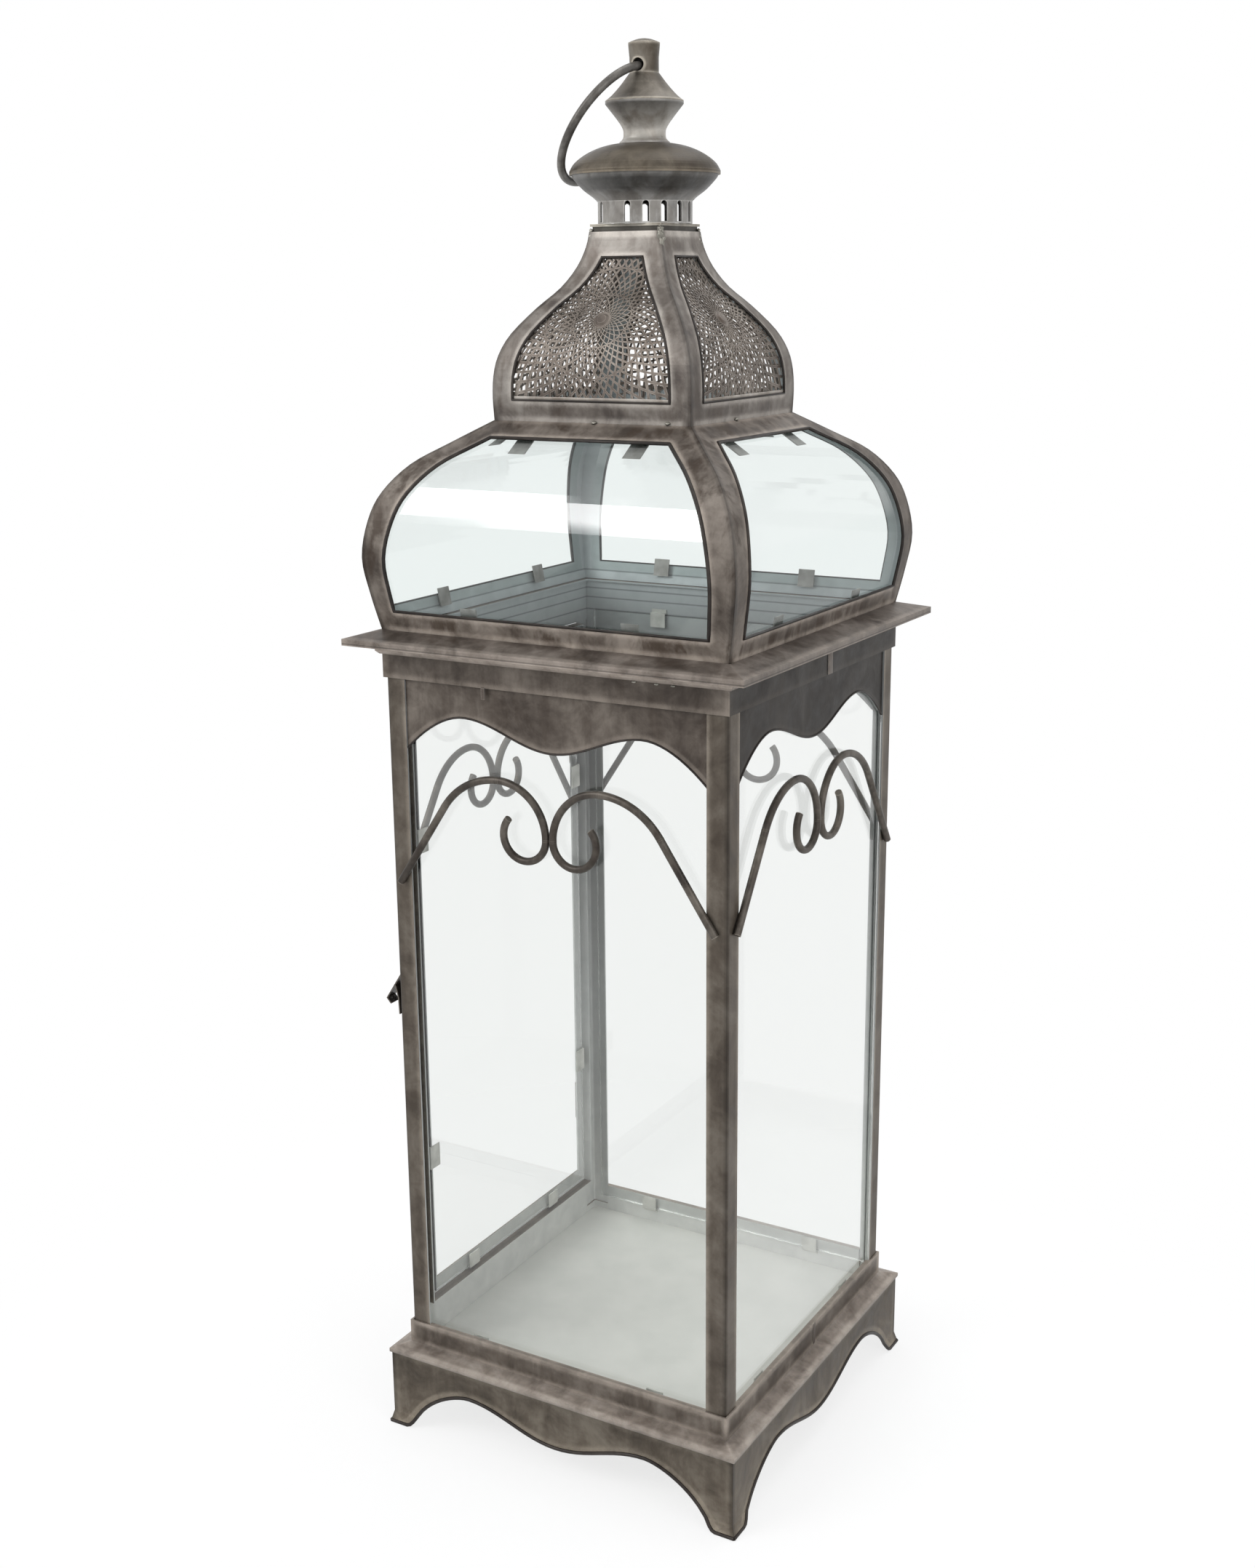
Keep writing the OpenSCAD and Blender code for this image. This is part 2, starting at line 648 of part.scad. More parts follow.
// Outline of the opening in a curved side: as wide as the side less its border, which changes
// evenly from low to high
function window(curve, lo, hi, border_lo, border_hi) = both_sides(concat(
    [[reach_at(curve, lo) - border_lo, lo]],
    [for (q = between(curve, lo + 0.5, hi - 0.5))
        [q[0] - lerp(border_lo, border_hi, (q[1] - lo) / (hi - lo)), q[1]]],
    [[reach_at(curve, hi) - border_hi, hi]]));

module roof_panel(side) {
    color([0.42, 0.38, 0.35]) on_side(side) difference() {
        front_side(strip(roof_line, sheet_t));
        through_front(window(roof_curve, roof_low_z, roof_high_z, roof_border_low,
            roof_border_top), 0, roof_wide_half + overshoot);
    }
}
roof_lap = 6;
module roof_pane(side) {
    lo = roof_low_z - roof_lap;
    hi = roof_high_z + roof_lap / 2;
    color([0.80, 0.88, 0.86, 0.35]) on_side(side) intersection() {
        along_front(strip(inset(roof_curve, sheet_t + seam), glass_t), 2 * roof_wide_half);
        through_front(window(roof_curve, lo, hi, roof_border_low - roof_lap,
            roof_border_top - roof_lap), 0, roof_wide_half);
    }
}
// Clips on the roof panes: small strips that follow the curve just inside the glass
roof_clip_low_x = 58;
roof_clip_top_x = 41;
roof_clip_reach = 5;
module roof_clip(lo, hi, x) {
    outer = inset(roof_curve, sheet_t + glass_t + 2 * seam);
    translate([x, 0, 0]) intersection() {
        along_front(strip(outer, clip_t), clip_w);
        translate([-clip_w, -roof_wide_half, lo]) cube([2 * clip_w, roof_wide_half, hi - lo]);
    }
}
module roof_clips() {
    color([0.62, 0.61, 0.59]) for (side = [0:3], x = [-1, 1]) on_side(side) {
        roof_clip(roof_low_z - roof_lap - 1, roof_low_z + roof_clip_reach, x * roof_clip_low_x);
        roof_clip(roof_high_z - clip_reach, roof_high_z + roof_lap / 2, x * roof_clip_top_x);
    }
}

// ---- Dome ----
// Ogee as parts of the way in to the top and of the way up
dome_ogee = [[0, 0], [-0.012, 0.12], [0, 0.24], [0.055, 0.35], [0.19, 0.465], [0.455, 0.6],
    [0.7, 0.705], [0.87, 0.815], [0.965, 0.92], [1, 1]];
dome_foot_half = roof_top_half - 0.2;
dome_curve = smooth([for (q = dome_ogee) [lerp(dome_foot_half, dome_top_half, q[0]),
    lerp(dome_z, dome_top_z, q[1])]], 3);
dome_flange = 6;
dome_low_z = dome_z + dome_sill_h;
dome_high_z = dome_top_z - dome_head_h;

module dome_panel(side) {
    color([0.42, 0.38, 0.35]) on_side(side) difference() {
        front_side(strip(concat(dome_curve, [[dome_top_half - dome_flange, dome_top_z]]), sheet_t));
        through_front(window(dome_curve, dome_low_z, dome_high_z, dome_border, dome_border), 0,
            roof_top_half + overshoot);
    }
}
screen_lap = 5;
module dome_screen(side) {
    color([0.50, 0.46, 0.43]) on_side(side) intersection() {
        along_front(strip(inset(dome_curve, sheet_t + seam), screen_t), 2 * roof_top_half);
        through_front(window(dome_curve, dome_low_z - screen_lap, dome_high_z + screen_lap,
            dome_border - screen_lap, dome_border - screen_lap), 0, roof_top_half);
    }
}

lid_hole_r = 17;
module dome_lid() {
    plate_half = dome_top_half - 0.4;
    neck_half = plate_half - 1.2;
    color([0.42, 0.40, 0.38]) translate([0, 0, dome_top_z]) difference() {
        union() {
            translate([-neck_half, -neck_half, 0]) cube([2 * neck_half, 2 * neck_half, lid_neck_h]);
            translate([-plate_half, -plate_half, lid_neck_h])
                cube([2 * plate_half, 2 * plate_half, lid_t]);
        }
        translate([0, 0, -overshoot]) cylinder(h = lid_neck_h + lid_t + 2 * overshoot, r = lid_hole_r);
    }
}

// ---- Vent, cap and finial ----
rim_r = brim_r - sheet_t - seam;                 // rim of the flare, inside the lip of the cap
flare = smooth([[vent_r, flare_z - 0.5], [vent_r + 2.8, flare_z + flare_h * 0.13],
    [vent_r + 9, flare_z + flare_h * 0.4], [rim_r - 1.4, brim_z - 4],
    [rim_r, brim_z - 1.6]], 3);
vent_seam = -104.6;                               // where the collar's closed seam faces
module vent_collar() {
    slot_z = vent_z + (vent_h - slot_h) * 0.62;
    color([0.45, 0.43, 0.41]) difference() {
        spun(concat([[vent_r, vent_z]], flare, [[rim_r, brim_z]]), sheet_t);
        for (k = [1:slot_n - 1]) rotate([0, 0, vent_seam + k * 360 / slot_n])
            translate([0, 0, slot_z]) rotate([90, 0, 90]) linear_extrude(vent_r + overshoot) {
                translate([-slot_w / 2, 0]) square([slot_w, slot_h - slot_w / 2]);
                translate([0, slot_h - slot_w / 2]) circle(slot_w / 2, $fn = 24);
            }
    }
}
cap_hole_r = neck_r - sheet_t - 2;
module cap() {
    // Rounded top, as [part of the brim's radius, part of the cap's height]
    dome = smooth([[1, 0.04], [0.95, 0.28], [0.86, 0.5], [0.74, 0.7], [0.6, 0.86], [0.46, 0.96],
        [0.36, 1]], 3);
    color([0.40, 0.37, 0.33]) spun(concat([[brim_r, brim_z - 1.4]],
        [for (q = dome) [brim_r * q[0], brim_z + cap_h * q[1]]],
        [[cap_hole_r, cap_top_z]]), sheet_t);
}
module finial_cup() {
    line = smooth([[neck_r + 2.6, cap_top_z + 0.8], [neck_r + 0.4, cap_top_z + 3],
        [neck_r, cap_top_z + 6], [neck_r + 0.5, cap_top_z + 9],
        [neck_r + 3.4, cap_top_z + 13.6], [flange_r, flange_z - 1.4]], 3);
    color([0.46, 0.43, 0.41]) spun(concat([[neck_r + 2.6, cap_top_z + seam]], line,
        [[flange_r, flange_z - seam]]), sheet_t);
}
module finial_spire() {
    // The post is straight around the hole
    line = concat(smooth([[flange_r, flange_z + 0.6],
        [lerp(tip_r, flange_r, 0.74), flange_z + spire_h * 0.1],
        [lerp(tip_r, flange_r, 0.4), flange_z + spire_h * 0.25],
        [lerp(tip_r, flange_r, 0.15), flange_z + spire_h * 0.38],
        [tip_r, ring_hole_z - ring_hole_r - 0.4]], 3),
        smooth([[tip_r, ring_hole_z + ring_hole_r + 0.6], [tip_r + 0.7, tip_z - 3.4],
        [tip_r + 0.1, tip_z - 2.2], [tip_r * 0.55, tip_z - 0.6], [tip_r * 0.2, tip_z]], 3));
    foot = [[flange_r, flange_z]];
    hollow = concat(foot, [for (q = line) if (q[1] < flange_z + spire_h * 0.33) q]);
    color([0.42, 0.39, 0.36]) difference() {
        rotate_extrude($fn = 96) polygon(concat(foot, line, [[0, tip_z],
            [0, last(hollow)[1]]], backward(inset(hollow, sheet_t))));
        translate([0, 0, ring_hole_z]) rotate([90, 0, ring_turn])
            cylinder(h = 4 * tip_r, r = ring_hole_r, center = true);
    }
}

// ---- Ring handle ----
// The wire hangs in the lower side of the hole, and the ring leans on the brim towards -X
ring_sag = ring_hole_r - ring_wire_d / 2 - seam
    - (ring_r - sqrt(ring_r * ring_r - tip_r * tip_r));
ring_lean = 37;
module ring_handle() {
    color([0.33, 0.31, 0.29]) translate([0, 0, ring_hole_z]) rotate([0, 90 + ring_lean, ring_turn])
        translate([ring_r + ring_sag, 0, 0])
            rotate_extrude($fn = 96) translate([ring_r, 0]) circle(d = ring_wire_d);
}

skirt(0);  // skirt_front
skirt(1);  // skirt_right
skirt(2);  // skirt_back
skirt(3);  // skirt_left
base_ledge();
floor_plate();
bottom_rail(0);  // rail_front
bottom_rail(1);  // rail_right
bottom_rail(2);  // rail_back
door_sill();
post(0);  // post_front_left
post(1);  // post_front_right
post(2);  // post_back_right
post(3);  // post_back_left
frieze();
valance(0, opening_half, half - post_round, post_top_z);  // valance_front
valance(1, opening_half, half - post_round, post_top_z);  // valance_right
valance(2, opening_half, half - post_round, post_top_z);  // valance_back
door_header();
cornice();
pane(0);  // pane_front
pane(1);  // pane_right
pane(2);  // pane_back
pane_clips();
scrolls(0);  // scrolls_front
scrolls(1);  // scrolls_right
scrolls(2);  // scrolls_back
door_frame();
door_pane();
door_clips();
door_valance();
door_scrolls();
hinge_post_leaves();
hinge_door_leaves();
hinge_pins();
latch_lever();
latch_rivet();
latch_catch();
roof_panel(0);  // roof_panel_front
roof_panel(1);  // roof_panel_right
roof_panel(2);  // roof_panel_back
roof_panel(3);  // roof_panel_left
roof_pane(0);  // roof_pane_front
roof_pane(1);  // roof_pane_right
roof_pane(2);  // roof_pane_back
roof_pane(3);  // roof_pane_left
roof_clips();
dome_panel(0);  // dome_panel_front
dome_panel(1);  // dome_panel_right
dome_panel(2);  // dome_panel_back
dome_panel(3);  // dome_panel_left
for (side = [0:3]) dome_screen(side);  // dome_screens
dome_lid();
vent_collar();
cap();
finial_cup();
finial_spire();
ring_handle();
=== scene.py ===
"""Floor lantern of aged sheet metal and glass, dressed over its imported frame.

Lengths are in metres, in the frame's own axes: the front is -Y, the door is on -X, +Z is up.
"""
import json
import math

import bpy
from mathutils import Matrix, Vector

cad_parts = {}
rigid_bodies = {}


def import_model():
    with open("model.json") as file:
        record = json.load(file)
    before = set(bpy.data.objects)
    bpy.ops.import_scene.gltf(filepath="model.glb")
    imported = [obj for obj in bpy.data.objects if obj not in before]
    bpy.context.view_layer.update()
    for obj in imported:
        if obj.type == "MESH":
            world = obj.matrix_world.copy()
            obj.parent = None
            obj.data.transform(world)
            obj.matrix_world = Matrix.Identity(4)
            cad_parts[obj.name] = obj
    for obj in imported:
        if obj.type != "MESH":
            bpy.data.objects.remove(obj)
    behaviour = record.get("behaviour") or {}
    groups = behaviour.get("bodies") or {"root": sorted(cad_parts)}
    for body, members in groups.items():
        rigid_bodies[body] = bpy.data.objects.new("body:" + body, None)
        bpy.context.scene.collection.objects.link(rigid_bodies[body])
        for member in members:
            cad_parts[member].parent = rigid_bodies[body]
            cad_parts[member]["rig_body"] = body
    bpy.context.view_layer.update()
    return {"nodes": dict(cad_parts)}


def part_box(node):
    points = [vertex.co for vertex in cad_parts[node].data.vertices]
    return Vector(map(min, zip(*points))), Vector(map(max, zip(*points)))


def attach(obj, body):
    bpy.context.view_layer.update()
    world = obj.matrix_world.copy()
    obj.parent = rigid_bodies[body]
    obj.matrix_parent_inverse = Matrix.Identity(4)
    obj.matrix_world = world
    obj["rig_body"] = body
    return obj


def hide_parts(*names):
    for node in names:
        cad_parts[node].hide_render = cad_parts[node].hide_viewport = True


MM = 0.001
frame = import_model()
nodes = frame["nodes"]

# Each side's turn about Z from the front, in degrees
SIDES = {"front": 0, "right": 90, "back": 180, "left": 270}

# Heights of the cornice's folds, inside the lantern and along its outer slope, where thin dark
# lines of painted shade are drawn
CORNICE_INNER_FOLDS = (0.5785, 0.5655, 0.5585, 0.5495)
CORNICE_RIDGES = (0.5602, 0.5642)

# The painted reflection band on the roof glass: the height of its foot, and how tall it is
REFLECTION_BAND_FOOT, REFLECTION_BAND_TALL = 0.64, 0.06


# ---------------------------------------------------------------- finishes

def new_finish(name):
    finish = bpy.data.materials.new(name)
    finish.use_nodes = True
    tree = finish.node_tree
    tree.nodes.clear()
    return finish, tree


def add(tree, kind, inputs=None, **settings):
    node = tree.nodes.new(kind)
    for key, value in settings.items():
        setattr(node, key, value)
    for key, value in (inputs or {}).items():
        socket = node.inputs[key]
        if isinstance(value, bpy.types.NodeSocket):
            tree.links.new(value, socket)
        else:
            socket.default_value = value
    return node


def paint(red, green, blue):
    """A colour from its sRGB values, as a linear RGBA."""
    return tuple(((c / 255) / 12.92 if c <= 10 else ((c / 255 + 0.055) / 1.055) ** 2.4)
                 for c in (red, green, blue)) + (1.0,)


def ramp(tree, value, *stops):
    node = add(tree, "ShaderNodeValToRGB", {"Fac": value})
    edge = node.color_ramp.elements
    while len(edge) < len(stops):
        edge.new(0.5)
    for item, (at, colour) in zip(edge, stops):
        item.position = at
        item.color = colour if isinstance(colour, tuple) else (colour, colour, colour, 1)
    return node.outputs["Color"]


def maths(tree, operation, first, second=0.0, clamp=False):
    return add(tree, "ShaderNodeMath", {0: first, 1: second}, operation=operation,
               use_clamp=clamp).outputs[0]


def blend(tree, share, first, second, kind="MIX"):
    node = add(tree, "ShaderNodeMix", data_type="RGBA", blend_type=kind, clamp_factor=True)
    for index, value in ((0, share), (6, first), (7, second)):
        if isinstance(value, bpy.types.NodeSocket):
            tree.links.new(value, node.inputs[index])
        else:
            node.inputs[index].default_value = value
    return node.outputs[2]


def noise(tree, at, scale, detail=4.0, roughness=0.55, distortion=0.0):
    return add(tree, "ShaderNodeTexNoise", {"Vector": at, "Scale": scale, "Detail": detail,
               "Roughness": roughness, "Distortion": distortion}).outputs["Fac"]


def stretched(tree, at, scale):
    return add(tree, "ShaderNodeMapping", {"Vector": at, "Scale": scale}).outputs["Vector"]


def close_surface(tree, colour, roughness, bump=None, metallic=0.0, height=0.0003, level=0.35):
    shader = add(tree, "ShaderNodeBsdfPrincipled", {"Base Color": colour,
                 "Roughness": roughness, "Metallic": metallic, "Specular IOR Level": level})
    if bump is not None:
        lift = add(tree, "ShaderNodeBump", {"Height": bump, "Strength": 0.6,
                   "Distance": height})
        tree.links.new(lift.outputs["Normal"], shader.inputs["Normal"])
    out = add(tree, "ShaderNodeOutputMaterial")
    tree.links.new(shader.outputs["BSDF"], out.inputs["Surface"])


def lit_by_height(tree, height, colour, light_levels):
    """Painted light and shade: the colour times a share that goes by height, given as (height,
    share) pairs.
    """
    low, high = light_levels[0][0], light_levels[-1][0]
    along = maths(tree, "DIVIDE", maths(tree, "SUBTRACT", height, low), high - low, True)
    stops = [((z - low) / (high - low), share) for z, share in light_levels]
    return blend(tree, 1.0, colour, ramp(tree, along, *stops), "MULTIPLY")


def thin_line(tree, height, level, colour, share=0.55, half=0.0005):
    """The colour with a thin dark line all round at one height: painted shade along a fold."""
    gap = maths(tree, "ABSOLUTE", maths(tree, "SUBTRACT", height, level))
    gap = maths(tree, "MULTIPLY", gap, 200.0, True)
    return blend(tree, 1.0, colour, ramp(tree, gap, (half * 100, share), (half * 320, 1.0)),
                 "MULTIPLY")


def aged_sheet(name, dark, middle, pale, wash=0.7, metallic=0.35, rough=0.46, lined=True,
               mitred=False, edge=0.006, light_levels=None, stain=0.4, shaded=None, folds=()):
    """Aged sheet metal: a brown patina in cloudy patches, a soft pale wash along the edges that is
    partly rubbed wear and partly painted highlight, grime and painted shade in the seams, and bare
    zinc on the side that faces into the lantern. It can also carry painted light and shade by
    height, thin dark lines of painted shade along folds, and painted shade on the faces towards
    +X."""
    finish, tree = new_finish(name)
    where = add(tree, "ShaderNodeTexCoord")
    at = where.outputs["Object"]
    spot = add(tree, "ShaderNodeSeparateXYZ", {"Vector": at}).outputs
    clouds = noise(tree, at, 19.0, 5.0, 0.62, 0.8)
    patches = noise(tree, at, 62.0, 5.0, 0.64, 0.5)
    grain = noise(tree, at, 520.0, 3.0, 0.6)
    streak = noise(tree, stretched(tree, at, (150, 150, 24)), 1.0, 3.0, 0.6)
    tone = maths(tree, "ADD", maths(tree, "MULTIPLY", clouds, 0.52),
                 maths(tree, "MULTIPLY", patches, 0.34))
    tone = maths(tree, "ADD", tone, maths(tree, "MULTIPLY", streak, 0.14))
    colour = ramp(tree, tone, (0.4, dark), (0.49, middle), (0.62, pale))
    # Brown stains that run down the sheet
    blots = noise(tree, stretched(tree, at, (58, 58, 26)), 1.0, 4.0, 0.6, 0.4)
    colour = blend(tree, maths(tree, "MULTIPLY", ramp(tree, blots, (0.5, 0.0), (0.6, 1.0)), stain),
                   colour, tuple(a * b for a, b in zip(dark, (0.8, 0.66, 0.52, 1.0))))
    # Soft pale wash near free edges and bends, broken up by the patches: partly rubbed wear,
    # partly a painted highlight along the rounded edges
    rounded = add(tree, "ShaderNodeBevel", {"Radius": edge}, samples=8)
    flat = add(tree, "ShaderNodeNewGeometry")
    turn = add(tree, "ShaderNodeVectorMath", {0: rounded.outputs["Normal"],
               1: flat.outputs["Normal"]}, operation="DOT_PRODUCT").outputs["Value"]
    rub_and_highlight = maths(tree, "MULTIPLY", maths(tree, "SUBTRACT", 1.0, turn), 10.0, True)
    rub_and_highlight = ramp(tree, rub_and_highlight, (0.02, 0.0), (0.45, 1.0))
    rub_and_highlight = maths(tree, "MULTIPLY", rub_and_highlight, ramp(tree, patches, (0.34, 0.45), (0.58, 1.0)))
    wash_and_highlight_colour = tuple(min(1.0, c * 2.0) for c in pale[:3]) + (1.0,)
    if mitred:
        # The mitre is a soldered seam: darker right at the corner, and without the pale wash and
        # painted highlight
        off = maths(tree, "ABSOLUTE", maths(tree, "SUBTRACT",
                    maths(tree, "ABSOLUTE", spot["X"]), maths(tree, "ABSOLUTE", spot["Y"])))
        off = maths(tree, "MULTIPLY", off, 100.0, True)
        rub_and_highlight = maths(tree, "MULTIPLY", rub_and_highlight, ramp(tree, off, (0.2, 0.0), (0.7, 1.0)))
        colour = blend(tree, 1.0, colour, ramp(tree, off, (0.04, 0.5), (0.1, 0.72), (0.55, 1.0)),
                       "MULTIPLY")
    colour = blend(tree, maths(tree, "MULTIPLY", rub_and_highlight, wash), colour, wash_and_highlight_colour)
    # Painted light and shade by height: darker under overhangs and in recesses, lighter where a
    # highlight falls
    if light_levels:
        colour = lit_by_height(tree, spot["Z"], colour, light_levels)
    # Thin dark lines of painted shade along the folds
    for fold in folds:
        colour = thin_line(tree, spot["Z"], fold, colour, 0.5, 0.0004)
    if shaded:
        # The faces towards +X lie in shade in the photograph, so they are painted darker
        aim = add(tree, "ShaderNodeSeparateXYZ", {"Vector": where.outputs["Normal"]})
        painted_shade = ramp(tree, aim.outputs["X"], (0.5, 1.0), (0.7, shaded))
        colour = blend(tree, 1.0, colour, painted_shade, "MULTIPLY")
    # Darker deep in the seams, by ambient occlusion: partly grime, partly painted shade
    shade = add(tree, "ShaderNodeAmbientOcclusion", {"Distance": 0.0035}, samples=6)
    grime_and_shade = ramp(tree, shade.outputs["AO"], (0.2, 0.42), (0.6, 1.0))
    colour = blend(tree, 1.0, colour, grime_and_shade, "MULTIPLY")
    if lined:
        # Bare zinc inside: the faces that look towards the axis of the lantern
        out_from_axis = add(tree, "ShaderNodeVectorMath", {0: at, 1: (1, 1, 0)},
                            operation="MULTIPLY").outputs["Vector"]
        out_from_axis = add(tree, "ShaderNodeVectorMath", {0: out_from_axis},
                            operation="NORMALIZE").outputs["Vector"]
        facing = add(tree, "ShaderNodeVectorMath", {0: out_from_axis,
                     1: where.outputs["Normal"]}, operation="DOT_PRODUCT").outputs["Value"]
        inside = ramp(tree, maths(tree, "ADD", facing, 0.5), (0.22, 1.0), (0.36, 0.0))
        # The zinc's tone goes by height: pale near the tray, darkest about two fifths of the way
        # up, pale again inside the cornice
        zinc = ramp(tree, spot["Z"], (0.08, paint(216, 216, 212)), (0.24, paint(196, 197, 195)),
                    (0.42, paint(138, 137, 134)), (0.535, paint(150, 151, 150)),
                    (0.57, paint(192, 198, 199)))
        zinc = blend(tree, maths(tree, "MULTIPLY", patches, 0.5), zinc, paint(118, 124, 127))
        # Thin dark lines of painted shade at the cornice's folds, inside
        for fold in CORNICE_INNER_FOLDS:
            zinc = thin_line(tree, spot["Z"], fold, zinc)
        colour = blend(tree, inside, colour, zinc)
    roughness = ramp(tree, patches, (0.3, rough - 0.08), (0.7, rough + 0.14))
    bump = maths(tree, "ADD", maths(tree, "MULTIPLY", patches, 0.8),
                 maths(tree, "MULTIPLY", grain, 0.25))
    close_surface(tree, colour, roughness, bump, metallic)
    return finish


def clear_glass(name, tint, level=0.5):
    """Clear glass: it mirrors a little, tints what is behind it, and lets the lamps through."""
    finish, tree = new_finish(name)
    glass = add(tree, "ShaderNodeBsdfPrincipled", {"Base Color": tint, "Roughness": 0.0,
                "Transmission Weight": 1.0, "IOR": 1.45, "Specular IOR Level": level})
    clear = add(tree, "ShaderNodeBsdfTransparent", {"Color": tint})
    path = add(tree, "ShaderNodeLightPath")
    mix = add(tree, "ShaderNodeMixShader", {0: path.outputs["Is Shadow Ray"],
              1: glass.outputs["BSDF"], 2: clear.outputs["BSDF"]})
    out = add(tree, "ShaderNodeOutputMaterial")
    tree.links.new(mix.outputs["Shader"], out.inputs["Surface"])
    return finish


def bent_glass(name, tint):
    """Thin bent glass: what is behind it stays unbent, and its face mirrors softly, with a painted
    reflection: a broad band half way up where it mirrors more."""
    finish, tree = new_finish(name)
    at = add(tree, "ShaderNodeTexCoord").outputs["Object"]
    haze = ramp(tree, noise(tree, at, 24.0, 3.0), (0.35, 0.03), (0.7, 0.11))
    clear = add(tree, "ShaderNodeBsdfTransparent", {"Color": tint})
    mirror = add(tree, "ShaderNodeBsdfGlossy", {"Color": (1, 1, 1, 1), "Roughness": haze})
    facing = add(tree, "ShaderNodeLayerWeight", {"Blend": 0.5}).outputs["Facing"]
    share = ramp(tree, facing, (0.0, 0.035), (0.5, 0.05), (0.75, 0.12), (0.9, 0.3), (1.0, 0.8))
    front = maths(tree, "SUBTRACT", 1.0, add(tree, "ShaderNodeNewGeometry").outputs["Backfacing"])
    # Painted reflection: a broad band by height where the mirror's share is raised
    spot = add(tree, "ShaderNodeSeparateXYZ", {"Vector": at}).outputs
    height = maths(tree, "ADD", spot["Z"], maths(tree, "MULTIPLY", spot["X"], 0.09))
    height = maths(tree, "ADD", height, maths(tree, "MULTIPLY", noise(tree, at, 9.0, 1.0), 0.01))
    painted_reflection_band = maths(tree, "DIVIDE", maths(tree, "SUBTRACT", height, REFLECTION_BAND_FOOT),
                 REFLECTION_BAND_TALL, True)
    painted_reflection_band = ramp(tree, painted_reflection_band, (0.16, 0.0), (0.26, 0.085), (0.5, 0.075), (0.85, 0.0))
    share = maths(tree, "MULTIPLY", maths(tree, "ADD", share, painted_reflection_band, True), front)
    mix = add(tree, "ShaderNodeMixShader", {0: share, 1: clear.outputs["BSDF"],
              2: mirror.outputs["BSDF"]})
    out = add(tree, "ShaderNodeOutputMaterial")
    tree.links.new(mix.outputs["Shader"], out.inputs["Surface"])
    return finish


def plain_metal(name, base, other, metallic, rough, scale=90.0):
    finish, tree = new_finish(name)
    at = add(tree, "ShaderNodeTexCoord").outputs["Object"]
    patches = noise(tree, at, scale, 5.0, 0.6)
    scuffs = noise(tree, stretched(tree, at, (700, 90, 90)), 1.0, 3.0)
    colour = ramp(tree, patches, (0.32, other), (0.62, base))
    colour = blend(tree, maths(tree, "MULTIPLY", ramp(tree, scuffs, (0.5, 0.0), (0.8, 1.0)),
                   0.3), colour, other)
    roughness = ramp(tree, patches, (0.3, rough + 0.12), (0.7, rough - 0.05))
    close_surface(tree, colour, roughness, patches, metallic, 0.0002)
    return finish


SHEET_DARK, SHEET_MID, SHEET_PALE = paint(60, 52, 46), paint(84, 76, 69), paint(114, 106, 98)
patina = aged_sheet("aged_sheet", SHEET_DARK, SHEET_MID, SHEET_PALE, wash=0.5, shaded=0.24,
                    stain=0.25)
# The height levels of the finishes below paint light and shade into the colour: darker under
# overhangs and in recesses, lighter where a highlight falls
patina_roof = aged_sheet("aged_sheet_roof", paint(68, 59, 52), paint(104, 95, 87),
                         paint(142, 133, 124), mitred=True, wash=0.8, stain=0.75,
                         light_levels=((0.572, 1.1), (0.584, 1.0), (0.592, 0.74), (0.69, 0.76),
                                 (0.702, 0.9)))
patina_dome = aged_sheet("aged_sheet_dome", paint(84, 76, 71), paint(120, 112, 105),
                         paint(164, 158, 151), mitred=True, wash=0.8,
                         light_levels=((0.70, 0.66), (0.72, 0.7), (0.76, 0.72), (0.795, 0.76),
                                 (0.812, 0.86)))
patina_post = aged_sheet("aged_sheet_posts", paint(66, 58, 50), paint(84, 76, 67),
                         paint(108, 101, 92), edge=0.005, wash=0.65, stain=0.12,
                         mitred=True)
patina_base = aged_sheet("aged_sheet_base", paint(70, 62, 55), paint(94, 86, 78),
                         paint(124, 116, 108), wash=0.8, stain=0.2)
patina_lap = aged_sheet("aged_sheet_lap", paint(66, 59, 54), paint(96, 88, 82),
                        paint(132, 124, 116), wash=0.3, edge=0.0008)
patina_ledge = aged_sheet("aged_sheet_ledge", paint(104, 94, 86), paint(134, 124, 115),
                          paint(168, 159, 150), wash=0.5, stain=0.1,
                          light_levels=((0.0545, 0.3), (0.0562, 0.5), (0.0575, 0.66), (0.059, 0.84),
                                  (0.0605, 1.0), (0.0625, 0.7)))
patina_cornice = aged_sheet("aged_sheet_cornice", paint(84, 75, 68), paint(122, 112, 104),
                            paint(160, 150, 141), wash=0.5, folds=CORNICE_RIDGES,
                            shaded=0.75,
                            light_levels=((0.541, 0.62), (0.5555, 0.5), (0.5572, 0.75),
                                    (0.5585, 1.0), (0.5605, 0.84), (0.565, 0.68),
                                    (0.572, 0.62)))
patina_skirt = aged_sheet("aged_sheet_skirt", paint(68, 60, 50), paint(92, 83, 72),
                          paint(122, 114, 102), wash=0.9, stain=0.2, edge=0.008, mitred=True,
                          light_levels=((0.0, 1.0), (0.02, 0.95), (0.042, 0.8), (0.052, 0.7),
                                  (0.056, 0.45)))
cap_metal = aged_sheet("cap_metal", paint(58, 51, 43), paint(76, 69, 59), paint(102, 94, 82),
                       metallic=0.45, rough=0.42, lined=False, edge=0.003)
finial_metal = aged_sheet("finial_metal", paint(78, 72, 64), paint(104, 98, 89),
                          paint(136, 130, 120), metallic=0.45, rough=0.42, lined=False,
                          edge=0.003)
